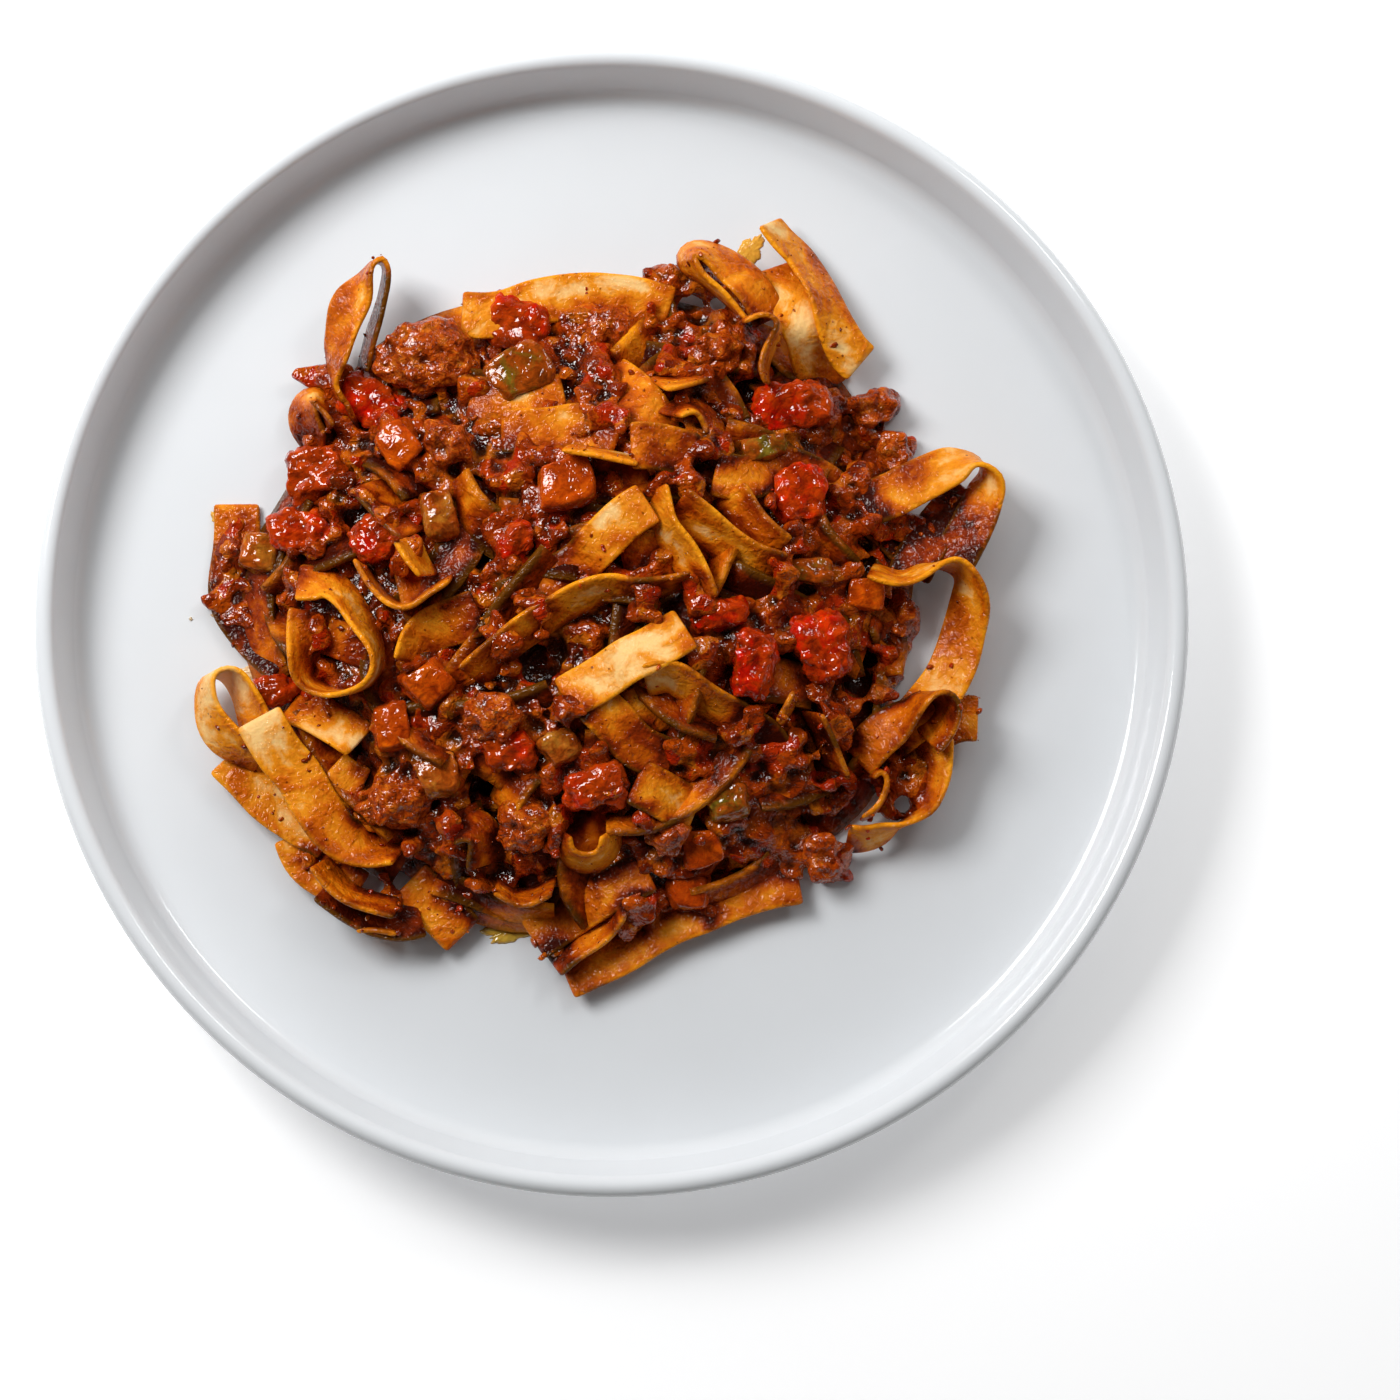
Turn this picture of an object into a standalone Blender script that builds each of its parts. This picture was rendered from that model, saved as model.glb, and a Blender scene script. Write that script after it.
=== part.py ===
# Tagliatelle with a bolognese sauce on a round white plate with a low upright rim.
# Blender 4.5, metres, +Z up. The origin is the middle of the plate's underside.

import math
import random

import bmesh
import bpy
from mathutils import Vector, noise

MM = 0.001

# Plate: outside radius at the lip, height, and the wall that rises from a flat floor
PLATE_RADIUS = 125.0 * MM
PLATE_HEIGHT = 22.0 * MM
FLOOR_HEIGHT = 7.0 * MM
LIP_THICKNESS = 4.6 * MM
WALL_LEAN = 2.0 * MM
CORNER_RADIUS = 3.6 * MM
SHOULDER_RADIUS = 7.0 * MM
UNDERSIDE_HEIGHT = 2.0 * MM
FOOT_OUTER_RADIUS = 107.0 * MM
FOOT_INNER_RADIUS = 103.0 * MM
FOOT_SLOPE = 1.2 * MM
PLATE_STEPS = 60

# Clearance that touching solids keep, and the growth that gives it on a topping's corners
GAP = 0.3 * MM
TOPPING_GAP = 0.42 * MM

# Pasta: one noodle's cut size, and how deep a noodle sits in what it lies on
NOODLE_WIDTH = 10.2 * MM
NOODLE_THICKNESS = 1.5 * MM
NOODLE_PIECE = 6.4 * MM
NOODLE_BITE = 0.9 * MM

# Heap under the noodles: peak over the plate's floor, and reach every 22.5 degrees from +X
HEAP_PEAK = 21.5 * MM
HEAP_REACH = [64, 65, 70, 71, 69, 71, 74, 75, 78, 76, 75, 70, 69, 65, 66, 66]
HEAP_BUMP = 1.3 * MM
HEAP_BUMP_SIZE = 13.0 * MM
HEAP_STEPS = 40
HEAP_RINGS = 18

# Toppings: how deep one sits in the heap, and the least that its middle is over the plate's
# floor, both as a share of its height
TOPPING_SINK = 0.28
TOPPING_REST = 0.65

# Noodles, each a route of plan points in millimetres with heights over the plate's floor and
# rolls in degrees, both spread evenly along it. A height of 0 means lying on the heap, roll 0
# lies flat, and a positive roll lifts the edge on the right of the way the route runs.
NOODLES = {
    "tall_loop": ([(-56, 42), (-61, 50), (-60, 58), (-58, 65), (-55, 71), (-52.5, 76), (-50, 78), (-48, 76),
                   (-49, 70), (-52, 62), (-54, 55)], (4, 8, 12, 14, 14, 12, 9, 6), (80, 80, 45, 20, 40, 100, 110, 110)),
    "small_loop": ([(-63, 36), (-67, 41), (-67.5, 46), (-65.5, 49), (-63.5, 47), (-62, 40)], (5, 8, 8),
                   (60, 45, 60, 110)),
    "left_strap": ([(-83, 25), (-83, 15), (-84, 6), (-82, 0), (-77, -6), (-71, -11)], (0, 0), (0, 8)),
    "back_strap": ([(-33, 66), (-25, 66), (-15, 69), (-6, 70), (6, 69)], (9, 9), (0, -12)),
    "crest_loop": ([(35, 64), (31, 71), (27, 75), (22, 79), (18, 80), (16, 78), (18, 75), (24, 70), (30, 64)],
                   (9, 12, 13, 12, 10), (-30, -30, -55, -90, -95)),
    "blade": ([(35, 87), (38, 83), (42, 79), (46, 72), (49, 64), (52, 58), (55, 55)], (8, 7, 6), (50, 45, 10)),
    "broad_back": ([(36, 77), (38, 72), (40, 67), (43, 61), (45, 55), (49, 50)], (8, 12, 0), (10, 10)),
    "back_curl": ([(28, 62), (32, 64), (36, 63), (36, 60), (34, 56), (33, 52), (34, 49)], (16, 16), (80, 80)),
    "side_strap": ([(53, 47), (55, 40), (57, 34), (60, 28), (64, 25)], (0, 0), (-10, 0)),
    "right_upper_loop": ([(55, 23), (62, 26), (69, 29.5), (76, 33), (80.5, 33), (82.5, 29), (80, 22), (76.5, 15),
                          (73, 9)], (12, 12, 11, 8, 6), (10, 10, 15, 25, 70, 135, 150, 155, 160)),
    "right_lower_loop": ([(56, 9), (63, 7), (70, 10), (75, 10), (78, 5), (77, -3), (75, -10), (72, -16)],
                         (12, 11, 10, 9, 8), (65, 70, 110, 150, 165)),
    "front_right_loop": ([(53, -32), (59, -26), (64, -22), (68, -18), (71, -18), (73, -21), (71, -25),
                          (68, -28)], (8, 11, 11, 9, 8), (20, 25, 70, 120, 140)),
    "right_stub": ([(70, -25), (76, -23), (80, -23)], (7, 7), (10, 10)),
    "corner_loop": ([(70, -27), (70, -35), (68, -42), (63, -46), (56, -49), (51, -49)],
                    (7, 7), (140, 110, 85, 60, 55)),
    "inner_hook": ([(56, -36), (58, -34), (60, -36), (59, -40), (57, -43), (54, -45)], (9, 9), (85, 85)),
    "big_loop": ([(-68, 6), (-60, 5), (-54, -2), (-50, -10), (-52, -16), (-59, -18), (-66, -15), (-66, -8),
                  (-65, 0)], (15, 15, 13, 12, 10), (35, 60, 88, 110, 155)),
    "cup_strand": ([(-54, 10), (-51, 5), (-47, 1), (-43, 0), (-39, 3), (-34, 6)], (0, 0), (80, 80)),
    "left_face": ([(-53, 28), (-49, 23), (-45, 19), (-42, 16)], (0, 0), (35, 45)),
    "middle_arch": ([(-28, -1), (-33, -3), (-37, -4), (-41, -7), (-43, -12)], (22, 20, 14), (0, 20, 50)),
    "long_edge": ([(-30, -15), (-23, -9), (-15, -3), (-6, 2), (0, 4), (5, 3), (11, 4), (17, 6)],
                  (0, 0), (-50, -50, -50, -60, -80)),
    "bright_end": ([(-16, 5), (-9, 8), (-3, 13), (2, 18), (8, 22)], (0, 24.5, 25.5), (0, 0)),
    "narrow_middle": ([(9, 25), (11, 17), (15, 12), (18, 6), (20, 1)], (0, 0), (-55, -55)),
    "curved_middle": ([(14, 22), (19, 18), (25, 13), (30, 10), (36, 8)], (0, 0), (-45, -45)),
    "shaded_middle": ([(25, 25), (28, 20), (32, 15), (36, 12)], (0, 0), (-35, -40)),
    "olive_strap": ([(22, 29), (29, 28), (37, 31), (44, 29), (49, 26)], (0, 0), (0, 0)),
    "pale_back": ([(-31, 47), (-21, 45), (-10, 47)], (0, 0), (0, 5)),
    "pale_front": ([(-24, 39), (-14, 39), (-6, 40), (2, 37)], (0, 0), (0, 0)),
    "back_diagonal": ([(-1, 52), (5, 47), (9, 41), (11, 35), (13, 30)], (0, 0), (10, 10)),
    "thin_edge": ([(-10, 34), (-3, 33), (6, 31)], (0, 0), (75, 75)),
    "square_end": ([(4, 34), (10, 34), (18, 32)], (24.5, 24), (0, 0)),
    "shaded_strap": ([(-4, 28), (2, 27), (8, 26)], (0, 0), (0, 0)),
    "short_edge": ([(10, 48), (14, 49), (19, 51)], (0, 0), (60, 60)),
    "cream_strap": ([(-10, -20), (-3, -16), (3, -12), (9, -9), (16, -5)], (0, 24.5, 25), (15, 15)),
    "turning_strap": ([(7, -16), (13, -15), (19, -19), (26, -24), (33, -28), (35, -33)],
                      (0, 0), (-50, -50, -20, -10)),
    "flat_front": ([(-4, -20), (1, -25), (6, -30), (13, -33)], (0, 0), (10, 0)),
    "front_end": ([(5, -37), (11, -40), (18, -44)], (0, 0), (10, 15)),
    "right_edge": ([(43, -22), (46, -28), (49, -35)], (0, 0), (-70, -70)),
    "lower_back": ([(-17, -71), (-8, -65), (0, -60), (8, -56)], (6, 0), (10, 10)),
    "lower_fold": ([(-13, -76), (-8, -72), (-2, -68), (2, -62)], (5.5, 7), (45, 50)),
    "front_strap": ([(-10, -79), (1, -74), (11, -68), (21, -64), (31, -60), (41, -58)], (3, 4), (18, 10)),
    "front_flap": ([(-44, -58), (-40, -62), (-36, -66), (-32, -70)], (0, 2), (0, 0)),
    "front_bow": ([(-25, -59), (-19, -62), (-12, -59)], (0, 0), (70, 70)),
    "front_arch": ([(-34, -47), (-30, -46), (-27, -49), (-27, -55)], (0, 0), (45, 40)),
    "broad_left": ([(-76, -23), (-72, -30), (-67, -36), (-63, -43), (-59, -48), (-53, -51), (-45, -52)],
                   (12, 11, 10, 9), (0, 5, 15, 60)),
    "under_left": ([(-84, -31), (-79, -36), (-74, -41), (-68, -45), (-61, -49)], (4, 5), (10, 10)),
    "left_loop": ([(-76, -32), (-82, -29), (-86, -25), (-88, -20), (-88, -15), (-86, -13), (-82, -14),
                   (-79, -19), (-77, -25)], (8, 10, 10, 9, 8), (55, 40, 60, 125, 140)),
    "lower_left": ([(-69, -48), (-66, -54), (-60, -58), (-55, -61)], (4, 5), (5, 5)),
    "lower_left_edge": ([(-63, -54), (-59, -59), (-54, -62), (-46, -64)], (8, 8), (65, 65)),
    "foot_edge": ([(-55, -68), (-51, -68), (-46, -69)], (5.6, 5.6), (80, 80)),
}

# Curl of noodle near the front: centre, radius, start and end angle, roll
RING_CENTRE = (-5.3, -49.0)
RING_RADIUS = 5.4
RING_FROM, RING_TO = 160.0, 380.0
RING_ROLL = -65.0

# Noodles that lie round the foot of the heap: how many, and the arc and turns each draws from
FOOT_NOODLES = 9
FOOT_ARC = (22.0, 34.0)
FOOT_HEIGHT = (2.0, 6.0)
FOOT_ROLL = (15.0, 60.0)
FOOT_INSET = 3.0
FOOT_SEED = 11

# Toppings by kind: plan place, length, width and height in millimetres, and turn in degrees
DICE = {
    "tomato": [(-53, 47, 13, 9, 8, -30), (-21, 65, 15, 11, 9, -20), (-65, 31, 13, 12, 9, 20),
               (-51, 15, 10, 9, 7, 15), (-68, 18, 12, 9, 8, 5), (39, 45, 15, 10, 8, 10),
               (41, 25, 10, 12, 8, 5), (30, -12, 9, 13, 9, -8), (45, -7, 10, 15, 9, 15),
               (-22, -31, 10, 7, 7, 0), (-3, -38, 13, 9, 8, 12), (-74, -17, 10, 7, 7, 5),
               (23, -2, 11, 7, 7, 20), (-21, 14, 8, 7, 6, 30)],
    "carrot": [(-45, 36, 9, 9, 7, 35), (-10, 27, 11, 10, 8, 10), (-47, -25, 7, 10, 7, 10),
               (-39, -16, 9, 8, 7, 40), (19, -51, 8, 7, 6, 15), (17, -60, 9, 7, 6, 5),
               (55, 4, 8, 7, 7, 0)],
    "celery": [(-20, 52, 13, 10, 8, 30), (32, 35, 11, 6, 6, 15), (42, 8, 10, 6, 6, 0),
               (25, -41, 9, 8, 7, 10), (12, 66, 7, 8, 6, 20)],
    "onion": [(-37, 21, 7, 11, 6, 15), (-77, 13, 8, 11, 7, -15), (-11, -30, 8, 7, 6, 30),
              (-37, -35, 8, 9, 6, 20)],
}
LUMPS = {
    "meat": [(-41, 56, 25, 20, 14, 10), (-35, 36, 10, 12, 8, 0), (-25, -23, 14, 10, 9, 10),
             (-1, 63, 14, 11, 9, 0), (-46, -41, 17, 12, 9, 15), (-18, -46, 12, 12, 8, 0),
             (46, -53, 9, 11, 8, 30), (58, 46, 9, 9, 8, 0), (62, 36, 8, 10, 8, 10),
             (64, 0, 6, 10, 7, 0), (12, -49, 9, 8, 7, 0), (23, 56, 13, 11, 8, 20)],
}
DICE_ROUNDING = 0.16
DICE_SKEW = 0.09
LUMP_ROUGHNESS = 0.14

# Colour, roughness and metallic value of each material
FINISHES = {
    "porcelain": ((0.83, 0.83, 0.82), 0.12, 0.0),
    "pasta": ((0.62, 0.30, 0.05), 0.32, 0.0),
    "tomato": ((0.45, 0.03, 0.01), 0.25, 0.0),
    "carrot": ((0.60, 0.15, 0.01), 0.28, 0.0),
    "celery": ((0.20, 0.13, 0.02), 0.28, 0.0),
    "onion": ((0.38, 0.17, 0.03), 0.25, 0.0),
    "meat": ((0.14, 0.035, 0.012), 0.40, 0.0),
}


def clear_scene():
    for item in list(bpy.data.objects):
        bpy.data.objects.remove(item, do_unlink=True)


def make_collection(name):
    group = bpy.data.collections.new(name)
    bpy.context.scene.collection.children.link(group)
    return group


def make_material(name):
    colour, roughness, metallic = FINISHES[name]
    material = bpy.data.materials.new(name)
    material.use_nodes = True
    shader = material.node_tree.nodes["Principled BSDF"]
    shader.inputs["Base Color"].default_value = (*colour, 1.0)
    shader.inputs["Roughness"].default_value = roughness
    shader.inputs["Metallic"].default_value = metallic
    return material


def make_object(name, bm, group, material=None):
    """Turns a mesh into an object, with triangles so that every face that is cut is flat."""
    bmesh.ops.triangulate(bm, faces=bm.faces)
    mesh = bpy.data.meshes.new(name)
    bm.to_mesh(mesh)
    bm.free()
    item = bpy.data.objects.new(name, mesh)
    if material:
        mesh.materials.append(material)
    group.objects.link(item)
    return item


def make_cutter(name, bm, group):
    item = make_object(name, bm, group)
    item.hide_render = True
    item.display_type = "WIRE"
    return item


# Plate

def arc_points(centre, radius, start, end, count):
    """Points on an arc in the profile's plane, angles in degrees from the outward direction."""
    turns = [math.radians(start + (end - start) * i / (count - 1)) for i in range(count)]
    return [(centre[0] + radius * math.cos(t), centre[1] + radius * math.sin(t)) for t in turns]


def plate_profile():
    """Radius and height along the floor, up the wall, over the lip and down to the foot."""
    lip_radius = LIP_THICKNESS / 2
    lip_centre = (PLATE_RADIUS - lip_radius, PLATE_HEIGHT - lip_radius)
    wall_foot = PLATE_RADIUS - LIP_THICKNESS - WALL_LEAN
    corner = (wall_foot - CORNER_RADIUS, FLOOR_HEIGHT + CORNER_RADIUS)
    shoulder = (PLATE_RADIUS - SHOULDER_RADIUS, UNDERSIDE_HEIGHT + SHOULDER_RADIUS)
    profile = [(0.0, FLOOR_HEIGHT)]
    profile += arc_points(corner, CORNER_RADIUS, -90, 0, 4)
    profile += arc_points(lip_centre, lip_radius, 180, 0, 5)
    profile += arc_points(shoulder, SHOULDER_RADIUS, 0, -90, 4)
    profile += [(FOOT_OUTER_RADIUS + FOOT_SLOPE, UNDERSIDE_HEIGHT), (FOOT_OUTER_RADIUS, 0.0)]
    profile += [(FOOT_INNER_RADIUS, 0.0), (FOOT_INNER_RADIUS - FOOT_SLOPE, UNDERSIDE_HEIGHT)]
    profile += [(0.0, UNDERSIDE_HEIGHT)]
    return profile


def make_plate(group):
    bm = bmesh.new()
    points = [bm.verts.new((radius, 0.0, height)) for radius, height in plate_profile()]
    for first, second in zip(points, points[1:]):
        bm.edges.new((first, second))
    plate = make_object("plate", bm, group, make_material("porcelain"))
    turn = plate.modifiers.new("turn", "SCREW")
    turn.angle = math.tau
    turn.steps = PLATE_STEPS
    turn.render_steps = PLATE_STEPS
    turn.use_merge_vertices = True
    turn.merge_threshold = 0.00001
    turn.use_smooth_shade = True
    return plate


# Heap

def heap_reach(angle):
    """The heap's plan radius in a direction, from the even list of reaches."""
    place = (angle % math.tau) / math.tau * len(HEAP_REACH)
    index = int(place)
    share = 0.5 - 0.5 * math.cos(math.pi * (place - index))
    near = HEAP_REACH[index % len(HEAP_REACH)]
    far = HEAP_REACH[(index + 1) % len(HEAP_REACH)]
    return (near + (far - near) * share) * MM


def heap_height(x, y):
    """Height of the heap over the plate's floor at a plan point, 0 outside it."""
    share = math.hypot(x, y) / heap_reach(math.atan2(y, x))
    if share >= 1.0:
        return 0.0
    dome = HEAP_PEAK * (1.0 - share ** 2.4) ** 0.72
    bump = noise.noise(Vector((x, y, 0.0)) / HEAP_BUMP_SIZE) * HEAP_BUMP
    return max(0.0, dome + bump * (1.0 - share ** 4))


def heap_mesh(swell=0.0):
    """The heap as a closed dome with a flat underside, grown all round by swell."""
    bm = bmesh.new()
    bmesh.ops.create_uvsphere(bm, u_segments=HEAP_STEPS, v_segments=HEAP_RINGS, radius=1.0)
    lower = [v for v in bm.verts if v.co.z < -0.0001]
    bmesh.ops.delete(bm, geom=lower, context="VERTS")
    bmesh.ops.holes_fill(bm, edges=[e for e in bm.edges if e.is_boundary])
    bmesh.ops.triangulate(bm, faces=[f for f in bm.faces if len(f.verts) > 4])
    for v in bm.verts:
        angle = math.atan2(v.co.y, v.co.x)
        share = min(1.0, math.hypot(v.co.x, v.co.y))
        reach = heap_reach(angle)
        x, y = share * reach * math.cos(angle), share * reach * math.sin(angle)
        rise = heap_height(x, y) if v.co.z > 0.0001 else 0.0
        out = Vector((math.cos(angle), math.sin(angle), 0.0)) * swell * share
        lift = swell if v.co.z > 0.0001 else -swell
        v.co = Vector((x, y, FLOOR_HEIGHT + GAP + rise + lift)) + out
    bmesh.ops.recalc_face_normals(bm, faces=bm.faces)
    return bm


# Noodles

def spread(values, share):
    """The value at a share of the way along evenly spaced values, eased between them."""
    place = min(max(share, 0.0), 1.0) * (len(values) - 1)
    index = min(int(place), len(values) - 2)
    ease = 0.5 - 0.5 * math.cos(math.pi * (place - index))
    return values[index] + (values[index + 1] - values[index]) * ease


def smooth_route(points, count):
    """Evenly spaced plan points on a smooth curve through the route's own points."""
    ends = [points[0] * 2 - points[1]] + points + [points[-1] * 2 - points[-2]]
    fine = []
    for i in range(1, len(ends) - 2):
        before, here, there, after = ends[i - 1:i + 3]
        for step in range(12):
            t = step / 12
            fine.append(0.5 * (here * 2 + (there - before) * t
                               + (before * 2 - here * 5 + there * 4 - after) * t ** 2
                               + (here * 3 - before - there * 3 + after) * t ** 3))
    fine.append(points[-1])
    lengths = [0.0]
    for first, second in zip(fine, fine[1:]):
        lengths.append(lengths[-1] + (second - first).length)
    even = []
    index = 0
    for step in range(count):
        goal = lengths[-1] * step / (count - 1)
        while index < len(fine) - 2 and lengths[index + 1] < goal:
            index += 1
        share = (goal - lengths[index]) / max(lengths[index + 1] - lengths[index], 1e-9)
        even.append(fine[index].lerp(fine[index + 1], min(share, 1.0)))
    return even, lengths[-1]


def noodle_frames(route, heights, rolls):
    """Centre, sideways and upward directions at each station of a noodle."""
    points = [Vector((x, y)) * MM for x, y in route]
    length = smooth_route(points, 3)[1]
    count = max(5, round(length / NOODLE_PIECE) + 1)
    plan = smooth_route(points, count)[0]
    centres = []
    turns = []
    for i, spot in enumerate(plan):
        roll = math.radians(spread(rolls, i / (count - 1)))
        half = (NOODLE_WIDTH * abs(math.sin(roll)) + NOODLE_THICKNESS * abs(math.cos(roll))) / 2
        rest = heap_height(spot.x, spot.y) + half - NOODLE_BITE
        height = max(spread(heights, i / (count - 1)) * MM, rest, half + 2 * GAP)
        centres.append(Vector((spot.x, spot.y, FLOOR_HEIGHT + height)))
        turns.append(roll)
    frames = []
    for i, centre in enumerate(centres):
        along = (centres[min(i + 1, count - 1)] - centres[max(i - 1, 0)]).normalized()
        left = Vector((0, 0, 1)).cross(along).normalized()
        up = along.cross(left)
        side = left * math.cos(turns[i]) - up * math.sin(turns[i])
        face = up * math.cos(turns[i]) + left * math.sin(turns[i])
        frames.append((centre, side, face))
    return frames


def noodle_mesh(frames, swell=0.0):
    """A long box that follows the stations of one noodle."""
    bm = bmesh.new()
    bmesh.ops.create_cube(bm, size=1.0)
    long_edges = [e for e in bm.edges if abs(e.verts[0].co.x - e.verts[1].co.x) > 0.5]
    bmesh.ops.subdivide_edges(bm, edges=long_edges, cuts=len(frames) - 2, use_grid_fill=True)
    ahead = (frames[-1][0] - frames[-2][0]).normalized() * swell
    behind = (frames[0][0] - frames[1][0]).normalized() * swell
    for v in bm.verts:
        station = round((v.co.x + 0.5) * (len(frames) - 1))
        centre, side, face = frames[station]
        place = centre + side * v.co.y * (NOODLE_WIDTH + 2 * swell)
        place += face * v.co.z * (NOODLE_THICKNESS + 2 * swell)
        if station == 0:
            place += behind
        if station == len(frames) - 1:
            place += ahead
        v.co = place
    return bm


def ring_route():
    """Plan points round the curl near the front."""
    turns = [math.radians(RING_FROM + (RING_TO - RING_FROM) * i / 6) for i in range(7)]
    return [(RING_CENTRE[0] + RING_RADIUS * math.cos(t), RING_CENTRE[1] + RING_RADIUS * math.sin(t))
            for t in turns]


def foot_routes():
    """Noodles spread evenly round the foot of the heap, each an arc along its outline."""
    draw = random.Random(FOOT_SEED)
    routes = []
    for i in range(FOOT_NOODLES):
        start = 360.0 * (i + draw.uniform(-0.2, 0.2)) / FOOT_NOODLES
        arc = draw.uniform(*FOOT_ARC)
        inset = draw.uniform(0.0, FOOT_INSET)
        route = []
        for step in range(4):
            angle = math.radians(start + arc * step / 3)
            reach = heap_reach(angle) / MM - inset + (1.5 if step in (1, 2) else 0.0)
            route.append((reach * math.cos(angle), reach * math.sin(angle)))
        heights = (draw.uniform(*FOOT_HEIGHT), draw.uniform(*FOOT_HEIGHT))
        rolls = (-draw.uniform(*FOOT_ROLL), -draw.uniform(*FOOT_ROLL))
        routes.append((route, heights, rolls))
    return routes


def all_noodles():
    """Stations of every noodle: the placed ones, the curl and the ones round the foot."""
    kinds = list(NOODLES.values())
    kinds.append((ring_route(), (0, 0), (RING_ROLL, RING_ROLL)))
    kinds += foot_routes()
    return [noodle_frames(*kind) for kind in kinds]


def main_body(bm):
    """Keeps the largest connected body, without loose scraps or the skin of a sealed hollow."""
    left = set(bm.faces)
    bodies = []
    while left:
        body = set()
        queue = [left.pop()]
        while queue:
            face = queue.pop()
            body.add(face)
            for edge in face.edges:
                for other in edge.link_faces:
                    if other in left:
                        left.remove(other)
                        queue.append(other)
        bodies.append(body)
    largest = max(bodies, key=lambda faces: sum(f.calc_area() for f in faces))
    rest = [f for faces in bodies if faces is not largest for f in faces]
    bmesh.ops.delete(bm, geom=rest, context="FACES")


def settle(item, name):
    """Applies an object's modifiers and keeps its main body."""
    graph = bpy.context.evaluated_depsgraph_get()
    mesh = bpy.data.meshes.new_from_object(item.evaluated_get(graph))
    item.modifiers.clear()
    item.data = mesh
    mesh.name = name
    bm = bmesh.new()
    bm.from_mesh(mesh)
    main_body(bm)
    bmesh.ops.triangulate(bm, faces=bm.faces)
    bm.to_mesh(mesh)
    bm.free()


def add_boolean(item, operation, group):
    cut = item.modifiers.new(operation.lower(), "BOOLEAN")
    cut.operation = operation
    cut.solver = "MANIFOLD"
    cut.operand_type = "COLLECTION"
    cut.collection = group


def make_pasta(group, cutters):
    """The heap with its noodles fused on, and swollen copies that the toppings are cut by."""
    pasta = make_object("pasta", heap_mesh(), group, make_material("pasta"))
    pieces = make_collection("noodles")
    make_cutter("heap_clearance", heap_mesh(GAP), cutters)
    for i, frames in enumerate(all_noodles()):
        make_cutter(f"noodle_{i}", noodle_mesh(frames), pieces)
        make_cutter(f"noodle_clearance_{i}", noodle_mesh(frames, GAP), cutters)
    add_boolean(pasta, "UNION", pieces)
    settle(pasta, "pasta")
    for piece in list(pieces.objects):
        bpy.data.objects.remove(piece, do_unlink=True)
    return pasta


# Toppings

def place_topping(bm, spot, swell=0.0):
    """Sizes, turns and sets down a topping that was made one unit across, grown by swell."""
    x, y, length, width, height = [value * MM for value in spot[:5]]
    turn = math.radians(spot[5])
    rise = heap_height(x, y) + (0.5 - TOPPING_SINK) * height
    middle = Vector((x, y, FLOOR_HEIGHT + max(rise, TOPPING_REST * height)))
    for v in bm.verts:
        across = v.co.x * (length + 2 * swell)
        deep = v.co.y * (width + 2 * swell)
        v.co = middle + Vector((across * math.cos(turn) - deep * math.sin(turn),
                                across * math.sin(turn) + deep * math.cos(turn),
                                v.co.z * (height + 2 * swell)))


def dice_mesh(draw):
    """A knife-cut dice with rounded, slightly skewed corners, one unit across."""
    bm = bmesh.new()
    bmesh.ops.create_cube(bm, size=1.0)
    for v in bm.verts:
        v.co += Vector([draw.uniform(-DICE_SKEW, DICE_SKEW) for _ in range(3)])
    bmesh.ops.bevel(bm, geom=bm.edges[:], offset=DICE_ROUNDING, segments=1, affect="EDGES")
    return bm


def lump_mesh(draw):
    """A rough round lump, one unit across."""
    bm = bmesh.new()
    bmesh.ops.create_icosphere(bm, subdivisions=2, radius=0.5)
    shift = Vector([draw.uniform(0, 50) for _ in range(3)])
    for v in bm.verts:
        v.co *= 1.0 + LUMP_ROUGHNESS * noise.noise(v.co * 3.0 + shift) * 2.0
    return bm


def make_topping(name, maker, spot, seed, material, group, cutters):
    """One topping, set into the heap and cut clear of what it lies on and lies beside."""
    bm = maker(random.Random(seed))
    place_topping(bm, spot)
    topping = make_object(name, bm, group, material)
    add_boolean(topping, "DIFFERENCE", cutters)
    settle(topping, name)
    grown = maker(random.Random(seed))
    place_topping(grown, spot, TOPPING_GAP)
    make_cutter(f"{name}_clearance", grown, cutters)


def make_toppings(group, cutters):
    seed = 1
    for kinds, maker in ((LUMPS, lump_mesh), (DICE, dice_mesh)):
        for kind, spots in kinds.items():
            material = make_material(kind)
            for number, spot in enumerate(spots, start=1):
                make_topping(f"{kind}_{number}", maker, spot, seed, material, group, cutters)
                seed += 1


def main():
    clear_scene()
    dish = make_collection("tagliatelle_bolognese")
    cutters = make_collection("clearances")
    make_plate(dish)
    make_pasta(dish, cutters)
    make_toppings(dish, cutters)


main()
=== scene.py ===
import math
import random
import bpy
import numpy
from mathutils import Matrix, Vector, noise
from mathutils.bvhtree import BVHTree


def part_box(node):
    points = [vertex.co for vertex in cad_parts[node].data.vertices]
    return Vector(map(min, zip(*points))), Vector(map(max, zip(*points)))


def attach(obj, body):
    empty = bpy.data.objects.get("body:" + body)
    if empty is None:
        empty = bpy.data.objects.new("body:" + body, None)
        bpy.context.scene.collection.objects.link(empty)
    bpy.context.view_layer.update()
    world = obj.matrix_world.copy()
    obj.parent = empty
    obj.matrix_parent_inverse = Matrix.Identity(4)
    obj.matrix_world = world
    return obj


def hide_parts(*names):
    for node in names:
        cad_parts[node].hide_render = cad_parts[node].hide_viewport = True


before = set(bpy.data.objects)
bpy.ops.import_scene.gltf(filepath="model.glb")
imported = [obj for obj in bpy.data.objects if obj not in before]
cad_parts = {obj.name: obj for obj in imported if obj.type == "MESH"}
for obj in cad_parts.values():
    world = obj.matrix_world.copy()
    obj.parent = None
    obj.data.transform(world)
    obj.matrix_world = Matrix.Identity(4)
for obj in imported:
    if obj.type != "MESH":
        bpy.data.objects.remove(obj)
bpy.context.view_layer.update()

# One serving of tagliatelle bolognese on a flat white plate. Metres, +Z up.

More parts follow.
